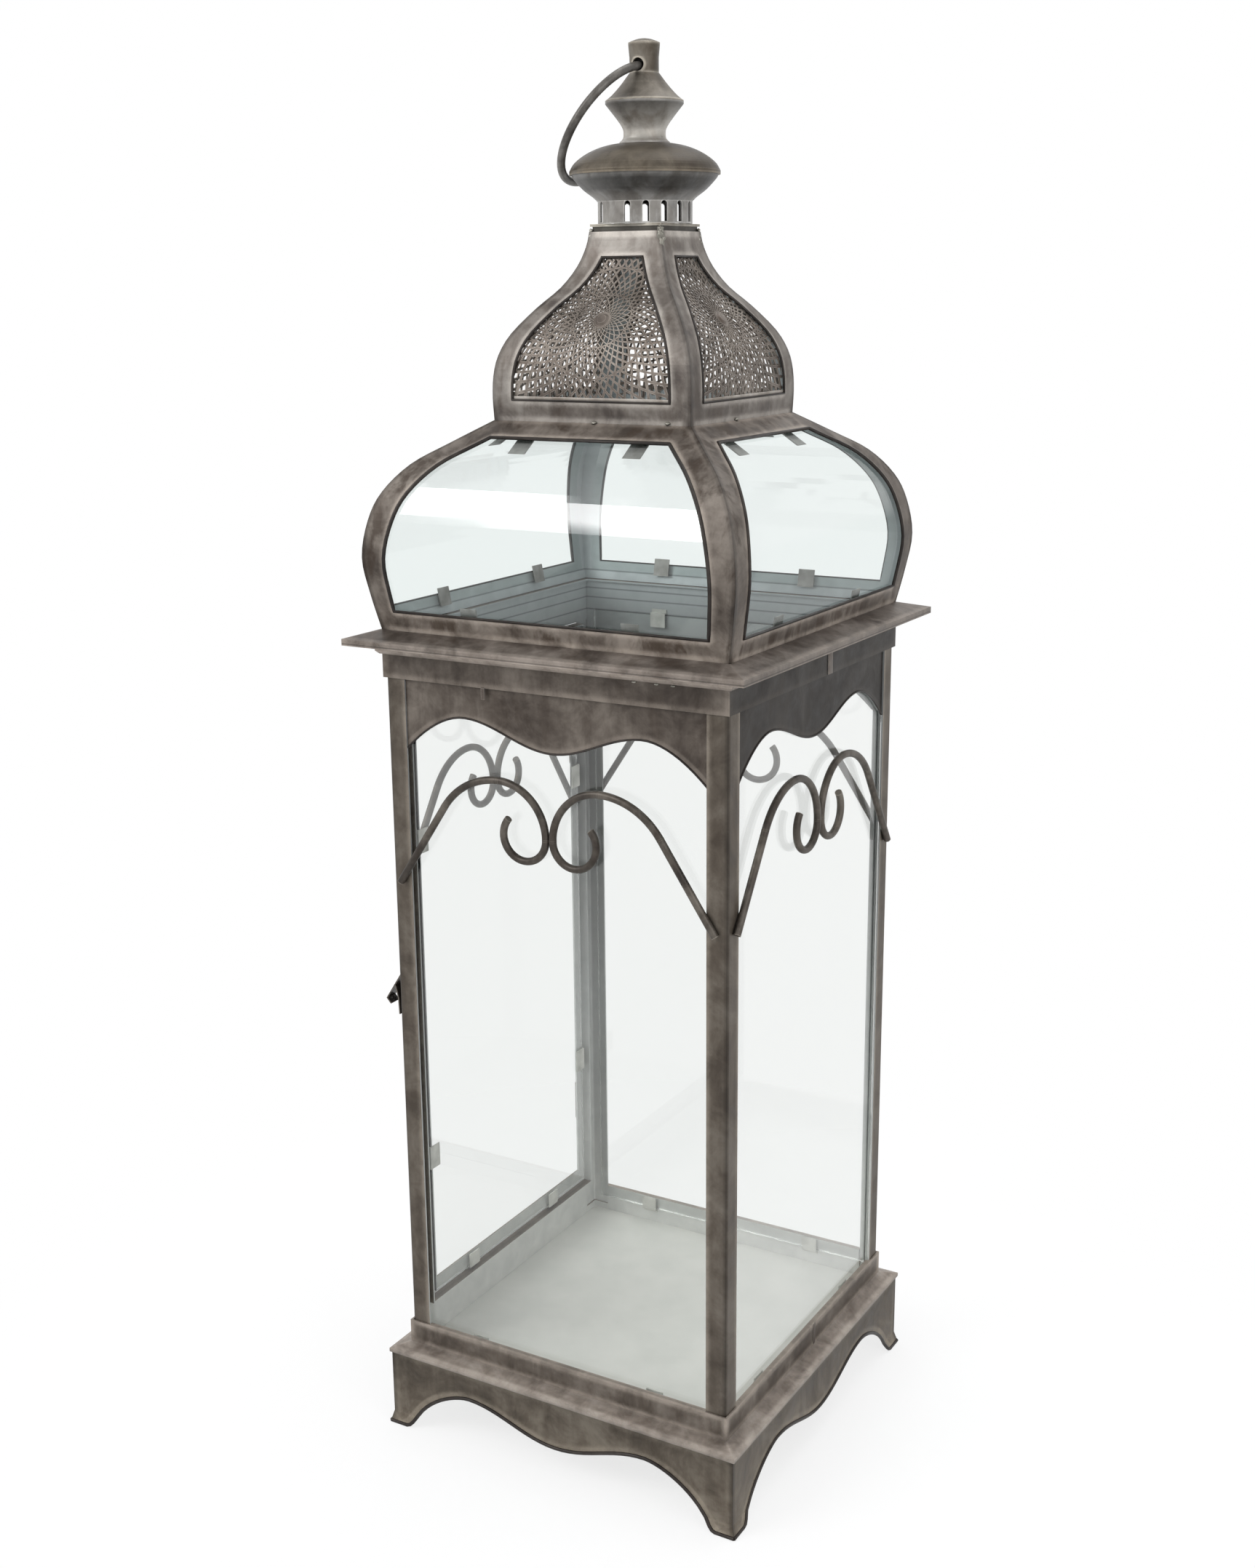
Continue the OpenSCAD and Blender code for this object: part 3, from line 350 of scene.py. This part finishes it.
cup_metal = aged_sheet("cup_metal", paint(140, 134, 127), paint(178, 173, 165),
                       paint(206, 202, 195), metallic=0.4, rough=0.42, lined=False, edge=0.002,
                       wash=0.3, light_levels=((0.8725, 0.8), (0.8745, 1.0), (0.881, 0.85),
                                         (0.885, 0.6), (0.889, 0.42), (0.8925, 0.26),
                                         (0.8939, 0.5)))
collar_metal = aged_sheet("collar_metal", paint(96, 94, 91), paint(134, 132, 129),
                          paint(172, 170, 166), metallic=0.4, rough=0.42, lined=False,
                          edge=0.0012, wash=0.4,
                          light_levels=((0.822, 1.0), (0.834, 1.0), (0.8375, 0.85), (0.8415, 0.32),
                                  (0.847, 0.27), (0.8495, 0.55)))
wire_metal = aged_sheet("scroll_wire", paint(48, 43, 39), paint(72, 66, 60), paint(110, 104, 96),
                        metallic=0.45, rough=0.4, lined=False, edge=0.0008)
ring_metal = aged_sheet("ring_wire", paint(66, 63, 60), paint(92, 89, 85), paint(132, 129, 124),
                        metallic=0.45, rough=0.4, lined=False, edge=0.0008)
hem_metal = aged_sheet("dark_hem", paint(32, 28, 26), paint(44, 39, 36), paint(62, 56, 52),
                       wash=0.0, metallic=0.4, rough=0.4, lined=False)
screen_metal = aged_sheet("pierced_screen", paint(68, 60, 54), paint(96, 87, 80),
                          paint(136, 128, 120), metallic=0.4, rough=0.42, lined=False,
                          edge=0.0005)
strip_metal = aged_sheet("screen_strip", paint(120, 112, 104), paint(150, 143, 135),
                         paint(182, 176, 169), lined=False, edge=0.0006, stain=0.2, wash=0.4)
lid_metal = aged_sheet("lid_metal", paint(96, 90, 82), paint(130, 124, 115), paint(170, 165, 154),
                       lined=False, edge=0.001, wash=0.4,
                       light_levels=((0.8159, 0.2), (0.8191, 0.24), (0.8197, 1.0)))
solder = aged_sheet("solder", paint(112, 109, 101), paint(142, 139, 130), paint(170, 167, 158),
                    metallic=0.5, rough=0.4, lined=False, edge=0.0006, stain=0.0)
tray_metal = plain_metal("floor_tray", paint(206, 206, 201), paint(198, 199, 194), 0.15, 0.5, 30)
clip_metal = plain_metal("clip_strip", paint(150, 149, 145), paint(118, 116, 112), 0.5, 0.42)
pane_clip_metal = plain_metal("pane_clip", paint(196, 196, 190), paint(168, 168, 162), 0.3, 0.45)
pane_glass = clear_glass("clear_glass", (0.935, 0.945, 0.938, 1.0))
roof_glass = bent_glass("bent_roof_glass", (0.955, 0.97, 0.966, 1.0))


def dress(piece, finish):
    piece.data.materials.clear()
    piece.data.materials.append(finish)


FINISH_OF = {}
for name in nodes:
    if name.startswith(("pane_", "door_pane")) and "clips" not in name:
        FINISH_OF[name] = pane_glass
    elif name.startswith("roof_pane_"):
        FINISH_OF[name] = roof_glass
    elif name in ("pane_clips", "door_clips"):
        FINISH_OF[name] = pane_clip_metal
    elif name == "roof_clips":
        FINISH_OF[name] = clip_metal
    elif name == "floor_plate":
        FINISH_OF[name] = tray_metal
    elif name.startswith(("post_", "door_frame")):
        FINISH_OF[name] = patina_post
    elif name.startswith(("scrolls_", "door_scrolls", "latch_", "hinge_")):
        FINISH_OF[name] = wire_metal
    elif name == "ring_handle":
        FINISH_OF[name] = ring_metal
    elif name == "dome_lid":
        FINISH_OF[name] = lid_metal
    elif name == "base_ledge":
        FINISH_OF[name] = patina_ledge
    elif name == "cornice":
        FINISH_OF[name] = patina_cornice
    elif name == "cap":
        FINISH_OF[name] = cap_metal
    elif name == "finial_cup":
        FINISH_OF[name] = cup_metal
    elif name == "finial_spire":
        FINISH_OF[name] = finial_metal
    elif name == "vent_collar":
        FINISH_OF[name] = collar_metal
    elif name.startswith("roof_panel_"):
        FINISH_OF[name] = patina_roof
    elif name.startswith("dome_panel_"):
        FINISH_OF[name] = patina_dome
    elif name.startswith("skirt_"):
        FINISH_OF[name] = patina_skirt
    elif name.startswith(("rail_", "door_sill")):
        FINISH_OF[name] = patina_base
    else:
        FINISH_OF[name] = patina
for name, finish in FINISH_OF.items():
    dress(nodes[name], finish)


# ---------------------------------------------------------------- making pieces

def alone(piece):
    """Only this piece is selected and active."""
    if bpy.context.object and bpy.context.object.mode != "OBJECT":
        bpy.ops.object.mode_set(mode="OBJECT")
    bpy.ops.object.select_all(action="DESELECT")
    piece.select_set(True)
    bpy.context.view_layer.objects.active = piece


def settle(piece, name, finish, body, smooth=35):
    """Puts a finished piece's place into its mesh, names it, and lets it ride on its body."""
    alone(piece)
    bpy.ops.object.transform_apply(location=True, rotation=True, scale=True)
    piece.name = name
    piece.data.name = name
    if smooth:
        bpy.ops.object.shade_smooth_by_angle(angle=math.radians(smooth))
    dress(piece, finish)
    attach(piece, body)


def body_of(name):
    return nodes[name]["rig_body"]


def copy_of(name):
    """A merged copy of a CAD node, to work on."""
    bpy.ops.object.select_all(action="DESELECT")
    piece = nodes[name].copy()
    piece.data = nodes[name].data.copy()
    for key in list(piece.keys()):
        if key.startswith("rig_"):
            del piece[key]
    bpy.context.scene.collection.objects.link(piece)
    piece.parent = None
    alone(piece)
    bpy.ops.object.mode_set(mode="EDIT")
    bpy.ops.mesh.select_all(action="SELECT")
    bpy.ops.mesh.remove_doubles(threshold=2e-6)
    bpy.ops.mesh.select_all(action="DESELECT")
    bpy.ops.object.mode_set(mode="OBJECT")
    return piece


def outward(side):
    turn = math.radians(SIDES[side])
    return Vector((math.sin(turn), -math.cos(turn), 0))


def keep_edges(piece, wanted):
    """Keeps only the edges that wanted(edge ends, normals of its faces) picks."""
    mesh = piece.data
    beside = {}
    for face in mesh.polygons:
        for key in face.edge_keys:
            beside.setdefault(key, []).append(face.normal.copy())
    keep = set()
    for edge in mesh.edges:
        a, b = (mesh.vertices[v].co for v in edge.vertices)
        normals = beside.get(tuple(sorted(edge.vertices)), [])
        if len(normals) == 2 and wanted(a, b, normals):
            keep.add(edge.index)
    alone(piece)
    bpy.ops.object.mode_set(mode="EDIT")
    bpy.ops.mesh.select_mode(type="EDGE")
    bpy.ops.mesh.select_all(action="DESELECT")
    bpy.ops.object.mode_set(mode="OBJECT")
    for index in keep:
        mesh.edges[index].select = True
    bpy.ops.object.mode_set(mode="EDIT")
    bpy.ops.mesh.select_all(action="INVERT")
    bpy.ops.mesh.delete(type="EDGE_FACE")
    bpy.ops.mesh.select_all(action="SELECT")
    bpy.ops.mesh.delete_loose(use_verts=True, use_edges=False, use_faces=False)
    bpy.ops.object.mode_set(mode="OBJECT")


def bead_along(name, side, radius, wanted, finish, piece_name):
    """A round bead along chosen outer rims of a CAD node. It never dips under the floor."""
    out = outward(side)

    def rim(a, b, normals):
        faces_out = [n.dot(out) for n in normals]
        return max(faces_out) > 0.12 and min(abs(f) for f in faces_out) < 0.1 and wanted(a, b)

    piece = copy_of(name)
    keep_edges(piece, rim)
    for vertex in piece.data.vertices:
        vertex.co.z = max(vertex.co.z, radius)
    alone(piece)
    bpy.ops.object.convert(target="CURVE")
    piece = bpy.context.object
    piece.data.dimensions = "3D"
    piece.data.bevel_depth = radius
    piece.data.bevel_resolution = 2
    piece.data.use_fill_caps = True
    bpy.ops.object.convert(target="MESH")
    settle(bpy.context.object, piece_name, finish, body_of(name), 60)


def across(side, point):
    """Distance of a point from the middle of its side."""
    turn = math.radians(SIDES[side])
    return abs(point.x * math.cos(turn) + point.y * math.sin(turn))


def deep(side, point):
    """Distance of a point from the axis, towards its side."""
    return point.dot(outward(side))


# Lowest and highest rim of each window, and how far a window lies in from its panel's edge
ROOF_WINDOW, DOME_WINDOW, WINDOW_INSET = (0.578, 0.697), (0.708, 0.806), 0.006
# The skirt's rim: its ends, where its feet begin, its highest point, and its steepest step
SKIRT_END, FOOT_START, ARCH_TOP, ARCH_STEP, LEVEL_STEP = 0.1372, 0.134, 0.045, 0.02, 0.001
VALANCE_HALF, VALANCE_TOP = 0.112, 0.53


def on_window(side, low, high):
    """Picks the rims of a panel's window, between two heights."""
    return lambda a, b: all(across(side, p) < deep(side, p) - WINDOW_INSET
                            and low < p.z < high for p in (a, b))


def on_arches(side):
    """Picks the lower rim of a skirt panel, without the upright ends of its feet."""
    def wanted(a, b):
        rise = abs(a.z - b.z)
        at_foot = all(across(side, p) > FOOT_START for p in (a, b))
        return (all(across(side, p) < SKIRT_END and p.z < ARCH_TOP for p in (a, b))
                and rise < ARCH_STEP and not (at_foot and rise > LEVEL_STEP))

    return wanted


def on_scallops(side):
    """Picks the scalloped lower rim of a valance."""
    return lambda a, b: all(across(side, p) < VALANCE_HALF and p.z < VALANCE_TOP
                            for p in (a, b))


for side in SIDES:
    bead_along("roof_panel_" + side, side, 0.0012, on_window(side, *ROOF_WINDOW), hem_metal,
               "roof_window_bead_" + side)
    bead_along("dome_panel_" + side, side, 0.0009, on_window(side, *DOME_WINDOW), hem_metal,
               "dome_window_bead_" + side)
    bead_along("skirt_" + side, side, 0.0013, on_arches(side), hem_metal, "skirt_hem_" + side)
for side, name in (("front", "valance_front"), ("right", "valance_right"),
                   ("back", "valance_back"), ("left", "door_valance")):
    bead_along(name, side, 0.0007, on_scallops(side), hem_metal, name + "_hem")

# Laps where two lengths of sheet meet, and lumps of solder at the corners

def lap_plate(name, low, high, body):
    """A thin plate with softened edges between two corners."""
    low, high = Vector(low) * MM, Vector(high) * MM
    bpy.ops.mesh.primitive_cube_add(size=1, location=(low + high) / 2, scale=high - low)
    plate = bpy.context.object
    bpy.ops.object.transform_apply(location=True, rotation=True, scale=True)
    bpy.ops.object.mode_set(mode="EDIT")
    bpy.ops.mesh.select_all(action="SELECT")
    bpy.ops.mesh.bevel(offset=0.00015, segments=2)
    bpy.ops.object.mode_set(mode="OBJECT")
    settle(plate, name, patina_lap, body, 40)


def solder_lump(name, places, body, rounds=(16, 10)):
    """Lumps of solder: squashed balls pushed about a little, at (place, size) in millimetres."""
    lumps = []
    for seed, (place, size) in enumerate(places):
        bpy.ops.mesh.primitive_uv_sphere_add(segments=rounds[0], ring_count=rounds[1], radius=1,
                                             location=Vector(place) * MM,
                                             scale=Vector(size) * MM)
        lumps.append(bpy.context.object)
        bpy.ops.object.transform_apply(location=True, rotation=True, scale=True)
        bpy.ops.object.mode_set(mode="EDIT")
        bpy.ops.mesh.select_all(action="SELECT")
        bpy.ops.transform.vertex_random(offset=min(size) * MM * 0.22, uniform=0.6, seed=seed)
        bpy.ops.object.mode_set(mode="OBJECT")
    bpy.ops.object.select_all(action="DESELECT")
    for lump in lumps:
        lump.select_set(True)
    bpy.context.view_layer.objects.active = lumps[0]
    if len(lumps) > 1:
        bpy.ops.object.join()
    settle(bpy.context.object, name, solder, body, 70)


lap_plate("rail_lap", (125.3, 7.4, 62.8), (125.8, 10.2, 78.4), body_of("rail_right"))
lap_plate("frieze_lap", (125.3, 12.2, 541.2), (125.8, 19.2, 555.6), body_of("frieze"))
lap_plate("frieze_tab", (-49.2, -125.8, 533.8), (-46.6, -125.3, 541.4), body_of("frieze"))
# Place and size of the lumps at a corner of the lid, in millimetres
LID_LUMPS = (((24.9, 24.9, 817.2), (2.0, 2.0, 2.2)), ((25.1, 25.1, 813.6), (2.3, 2.3, 3.0)),
             ((26.2, 25.8, 809.2), (1.5, 1.5, 2.8)), ((26.3, 23.4, 811.4), (0.9, 1.7, 1.6)))
DOME_SEAM_DOTS = ((3.2, -71.0, 702.4), (54.8, -70.8, 703.2), (70.9, -12, 702.6),
                  (-70.9, 22, 702.6), (-20, 71.0, 702.4))
DOME_DOT_SIZE = (1.9, 1.9, 1.0)
FRIEZE_DOTS_X, FRIEZE_DOT_SIZE = (61.2, 76.6, 87.9), (1.6, 0.5, 0.7)
for corner, x, y, big in (("front_right", 1, -1, 1.0), ("front_left", -1, -1, 0.55),
                          ("back_right", 1, 1, 0.55), ("back_left", -1, 1, 0.9)):
    solder_lump("lid_solder_" + corner,
                [(Vector((x * out, y * along, z)), Vector(size) * big)
                 for (out, along, z), size in LID_LUMPS], body_of("dome_lid"))
for number, place in enumerate(DOME_SEAM_DOTS):
    solder_lump("dome_seam_solder_%d" % number, ((place, DOME_DOT_SIZE),),
                body_of("dome_panel_front"))
for number, x in enumerate(FRIEZE_DOTS_X):
    solder_lump("frieze_solder_%d" % number, (((x, -125.6, 555.6), FRIEZE_DOT_SIZE),),
                body_of("frieze"), (12, 8))

# Pierced screens of the dome. The sheet is pierced flat, then bent to the dome's curve.

def curve_through(points, steps):
    """The smooth curve through points that the dome's panels follow."""
    line = []
    for i in range(len(points) - 1):
        a, b, c, d = (Vector(points[max(0, min(len(points) - 1, i + k))]) for k in (-1, 0, 1, 2))
        for k in range(steps):
            u = k / steps
            line.append((2 * b + (c - a) * u + (2 * a - 5 * b + 4 * c - d) * u * u
                         + (3 * b - a - 3 * c + d) * u ** 3) / 2)
    return line + [Vector(points[-1])]


def moved_in(line, by):
    """The line moved to its left."""
    moved = []
    for i, p in enumerate(line):
        a = (line[max(i, 1)] - line[max(i, 1) - 1]).normalized()
        b = (line[min(i + 1, len(line) - 1)] - line[min(i, len(line) - 2)]).normalized()
        a, b = Vector((-a.y, a.x)), Vector((-b.y, b.x))
        m = (a + b).normalized()
        moved.append(p + m * by / m.dot(a))
    return moved


dome_low, dome_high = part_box("dome_panel_front")
DOME_FOOT, DOME_TOP = dome_low.z, dome_high.z
DOME_WIDE, DOME_NARROW = 0.0706, 0.0258
OGEE = [(0, 0), (-0.012, 0.12), (0, 0.24), (0.055, 0.35), (0.19, 0.465), (0.455, 0.6),
        (0.7, 0.705), (0.87, 0.815), (0.965, 0.92), (1, 1)]
dome_curve = curve_through([(DOME_WIDE + (DOME_NARROW - DOME_WIDE) * a,
                             DOME_FOOT + (DOME_TOP - DOME_FOOT) * b) for a, b in OGEE], 3)
screen_curve = moved_in(dome_curve, 0.0013)
ROSETTE_Z = 0.7635
WINDOW_LOW, WINDOW_HIGH, WINDOW_BORDER = DOME_FOOT + 0.013, DOME_TOP - 0.0154, 0.0148


def along_curve(line):
    """Running length at each point, counted from the rosette's height."""
    lengths = [0.0]
    for p, q in zip(line, line[1:]):
        lengths.append(lengths[-1] + (q - p).length)
    zero = 0.0
    for i in range(len(line) - 1):
        if line[i].y <= ROSETTE_Z < line[i + 1].y:
            zero = lengths[i] + (lengths[i + 1] - lengths[i]) * (ROSETTE_Z - line[i].y) / (
                line[i + 1].y - line[i].y)
    return [v - zero for v in lengths]


screen_run = along_curve(screen_curve)


def on_screen(length):
    """Depth and height of the screen at a running length."""
    i = max(0, min(len(screen_run) - 2, next(
        (k for k in range(len(screen_run) - 1) if screen_run[k + 1] > length),
        len(screen_run) - 2)))
    u = (length - screen_run[i]) / (screen_run[i + 1] - screen_run[i])
    return screen_curve[i].lerp(screen_curve[i + 1], u)


def window_half(z):
    """Half width of the dome's window at height z."""
    for p, q in zip(dome_curve, dome_curve[1:]):
        if p.y <= z < q.y:
            return p.x + (q.x - p.x) * (z - p.y) / (q.y - p.y) - WINDOW_BORDER
    return -1.0


BOSS_RADIUS = 0.0058
# From the boss outwards: holes in a ring, growth from ring to ring, rings, and the share of
# a hole's cell that stays as metal
SCREEN_ROWS = ((26, 1.5, 3, 0.065), (42, 1.26, 3, 0.11), (56, 1.19, 4, 0.125),
               (72, 1.15, 5, 0.125))
SCREEN_LAP, SCREEN_THICK = 0.0042, 0.0008


def lattice(count, start, growth, rings, strip):
    """A flat ring of pointed holes in staggered rows, as a mesh in the XY plane."""
    bpy.ops.mesh.primitive_circle_add(vertices=count, radius=start, fill_type="NOTHING")
    ring = bpy.context.object
    bpy.ops.object.mode_set(mode="EDIT")
    bpy.ops.mesh.select_mode(type="EDGE")
    bpy.ops.mesh.select_all(action="SELECT")
    for _ in range(rings):
        bpy.ops.mesh.extrude_region_move()
        bpy.ops.transform.resize(value=(growth, growth, 1), center_override=(0, 0, 0))
    # Every cell gets a middle point, and the old edges go, which leaves lozenges
    bpy.ops.mesh.select_all(action="SELECT")
    bpy.ops.mesh.mark_seam(clear=False)
    bpy.ops.mesh.poke()
    bpy.ops.mesh.select_all(action="DESELECT")
    bpy.ops.object.mode_set(mode="OBJECT")
    sides = {}
    for face in ring.data.polygons:
        for key in face.edge_keys:
            sides[key] = sides.get(key, 0) + 1
    for edge in ring.data.edges:
        edge.select = edge.use_seam and sides.get(tuple(sorted(edge.vertices)), 0) == 2
    bpy.ops.object.mode_set(mode="EDIT")
    bpy.ops.mesh.dissolve_edges(use_verts=False)
    bpy.ops.mesh.select_mode(type="FACE")
    bpy.ops.mesh.select_all(action="SELECT")
    bpy.ops.mesh.inset(thickness=strip, use_individual=True, use_relative_offset=True)
    bpy.ops.mesh.delete(type="FACE")
    bpy.ops.object.mode_set(mode="OBJECT")
    return ring


def pierced_screen():
    """The front's screen: a rosette of pointed holes round a plain boss, bent to the dome."""
    rows, start = [], BOSS_RADIUS
    for count, growth, rings, strip in SCREEN_ROWS:
        rows.append(lattice(count, start, growth, rings, strip))
        start *= growth ** rings
    bpy.ops.mesh.primitive_circle_add(vertices=60, radius=BOSS_RADIUS, fill_type="NGON")
    boss = bpy.context.object
    bpy.ops.object.mode_set(mode="EDIT")
    bpy.ops.mesh.select_all(action="SELECT")
    bpy.ops.mesh.inset(thickness=0.001)
    bpy.ops.mesh.inset(thickness=0.0018)
    bpy.ops.transform.translate(value=(0, 0, 0.0012))
    bpy.ops.object.mode_set(mode="OBJECT")
    bpy.ops.object.select_all(action="DESELECT")
    for part in rows + [boss]:
        part.select_set(True)
    bpy.context.view_layer.objects.active = boss
    bpy.ops.object.join()
    screen = bpy.context.object
    mesh = screen.data
    # What lies outside the window is cut away, except a narrow lap behind its border
    alone(screen)
    bpy.ops.object.mode_set(mode="EDIT")
    bpy.ops.mesh.select_mode(type="FACE")
    bpy.ops.object.mode_set(mode="OBJECT")
    for face in mesh.polygons:
        middle = sum((mesh.vertices[v].co for v in face.vertices), Vector()) / len(face.vertices)
        z = on_screen(middle.y).y
        face.select = not (WINDOW_LOW - SCREEN_LAP < z < WINDOW_HIGH + SCREEN_LAP
                           and screen_run[0] < middle.y < screen_run[-1]
                           and abs(middle.x) < window_half(z) + SCREEN_LAP)
    bpy.ops.object.mode_set(mode="EDIT")
    bpy.ops.mesh.delete(type="FACE")
    bpy.ops.mesh.select_all(action="SELECT")
    bpy.ops.mesh.remove_doubles(threshold=1e-5)
    bpy.ops.object.mode_set(mode="OBJECT")
    for vertex in mesh.vertices:
        x, run, lift = vertex.co
        spot = on_screen(run)
        ahead = on_screen(run + 0.0005) - spot
        ahead.normalize()
        depth, z = spot.x + ahead.y * lift, spot.y - ahead.x * lift
        vertex.co = (x, -depth, z)
    wall = screen.modifiers.new("wall", "SOLIDIFY")
    wall.thickness = SCREEN_THICK
    wall.offset = -1
    bpy.ops.object.mode_set(mode="EDIT")
    bpy.ops.mesh.select_all(action="SELECT")
    bpy.ops.mesh.normals_make_consistent(inside=False)
    bpy.ops.object.mode_set(mode="OBJECT")
    if sum(f.normal.y * f.area for f in mesh.polygons) > 0:
        bpy.ops.object.mode_set(mode="EDIT")
        bpy.ops.mesh.flip_normals()
        bpy.ops.object.mode_set(mode="OBJECT")
    bpy.ops.object.modifier_apply(modifier="wall")
    return screen


first_screen = pierced_screen()
for side, turn in SIDES.items():
    screen = first_screen.copy()
    screen.data = first_screen.data.copy()
    bpy.context.scene.collection.objects.link(screen)
    screen.rotation_euler = (0, 0, math.radians(turn))
    settle(screen, "pierced_screen_" + side, screen_metal, body_of("dome_screens"), 0)
    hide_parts("dome_screens")
bpy.data.objects.remove(first_screen)

# A narrow folded strip holds each screen along the foot of its window
foot = on_screen(next(run for run, p in zip(screen_run, screen_curve) if p.y >= WINDOW_LOW))
for side, turn in SIDES.items():
    bpy.ops.mesh.primitive_cube_add(size=1, location=(0, -foot.x - 0.0006, WINDOW_LOW + 0.0012),
                                    scale=(2 * window_half(WINDOW_LOW) - 0.001, 0.0008, 0.0022))
    strip = bpy.context.object
    bpy.ops.object.transform_apply(location=True, rotation=True, scale=True)
    bpy.ops.object.mode_set(mode="EDIT")
    bpy.ops.mesh.select_all(action="SELECT")
    bpy.ops.mesh.bevel(offset=0.0003, segments=2)
    bpy.ops.object.mode_set(mode="OBJECT")
    strip.rotation_euler = (0, 0, math.radians(turn))
    settle(strip, "screen_foot_strip_" + side, strip_metal, body_of("dome_screens"),
           40)


# ---------------------------------------------------------------- studio

LAMPS = (("soft_key", (-1.6, -2.2, 2.3), 1.6, 42), ("soft_fill", (2.4, -1.2, 1.5), 1.6, 16),
         ("soft_top", (0.3, 0.6, 2.8), 1.6, 16))
LAMPS_AIM_AT = (0, 0, 0.45)
PHOTO_WIDTH, PHOTO_CENTRE_X, FOCAL_PIXELS, SENSOR_WIDTH = 1725, 867.69, 2613.91, 36


def shows_background(tree):
    """1 for what the camera sees, straight, in a mirror or through glass."""
    path = add(tree, "ShaderNodeLightPath")
    return maths(tree, "MAXIMUM", path.outputs["Is Camera Ray"],
                 maths(tree, "MAXIMUM", path.outputs["Is Glossy Ray"],
                       path.outputs["Is Transmission Ray"]))


def studio():
    scene = bpy.context.scene
    scene.view_settings.view_transform = "Standard"
    bpy.ops.mesh.primitive_plane_add(size=14, location=(0, 0, 0))
    ground = bpy.context.object
    ground.name = "studio_floor"
    finish, tree = new_finish("studio_floor")
    at = add(tree, "ShaderNodeTexCoord").outputs["Object"]
    shade = ramp(tree, noise(tree, at, 3.0, 2.0), (0.4, paint(251, 251, 251)),
                 (0.6, paint(254, 254, 254)))
    away = add(tree, "ShaderNodeVectorMath", {0: at}, operation="LENGTH").outputs["Value"]
    plain = ramp(tree, away, (0.12, 0.72), (0.3, 0.88), (0.55, 1.0))
    paper = add(tree, "ShaderNodeBsdfDiffuse", {"Color": shade})
    glow = add(tree, "ShaderNodeEmission", {"Color": (1, 1, 1, 1), "Strength": 1.0})
    seen = shows_background(tree)
    mix = add(tree, "ShaderNodeMixShader", {0: maths(tree, "MULTIPLY", seen, plain),
              1: paper.outputs["BSDF"], 2: glow.outputs["Emission"]})
    out = add(tree, "ShaderNodeOutputMaterial")
    tree.links.new(mix.outputs["Shader"], out.inputs["Surface"])
    dress(ground, finish)

    world = bpy.data.worlds.new("studio")
    scene.world = world
    world.use_nodes = True
    tree = world.node_tree
    tree.nodes.clear()
    seen = shows_background(tree)
    lit = add(tree, "ShaderNodeBackground", {"Color": (0.97, 0.985, 1.0, 1), "Strength": 0.72})
    white = add(tree, "ShaderNodeBackground", {"Color": (1, 1, 1, 1), "Strength": 1.0})
    mix = add(tree, "ShaderNodeMixShader", {0: seen, 1: lit.outputs["Background"],
              2: white.outputs["Background"]})
    out = add(tree, "ShaderNodeOutputWorld")
    tree.links.new(mix.outputs["Shader"], out.inputs["Surface"])

    for name, place, size, power in LAMPS:
        bpy.ops.object.light_add(type="AREA", location=place)
        lamp = bpy.context.object
        lamp.name = name
        lamp.data.size = size
        lamp.data.energy = power
        lamp.rotation_euler = (Vector(LAMPS_AIM_AT) - Vector(place)).to_track_quat(
            "-Z", "Y").to_euler()


def camera():
    """The photograph's viewpoint, fitted to the corners of the body."""
    right = Vector((0.8660979, 0.49979734, -0.00877772))
    up = Vector((-0.11965296, 0.22433184, 0.96713928))
    back = -Vector((-0.48534276, 0.83658702, -0.25409557))
    bpy.ops.object.camera_add()
    eye = bpy.context.object
    eye.matrix_world = Matrix((
        (right.x, up.x, back.x, 0.616396), (right.y, up.y, back.y, -1.086377),
        (right.z, up.z, back.z, 0.784316), (0, 0, 0, 1)))
    eye.data.sensor_fit = "HORIZONTAL"
    eye.data.sensor_width = SENSOR_WIDTH
    eye.data.lens = FOCAL_PIXELS / PHOTO_WIDTH * SENSOR_WIDTH
    eye.data.shift_x = -(PHOTO_CENTRE_X - PHOTO_WIDTH / 2) / PHOTO_WIDTH
    eye.data.shift_y = 0.0
    eye.data.clip_start = 0.05
    bpy.context.scene.camera = eye


studio()
camera()
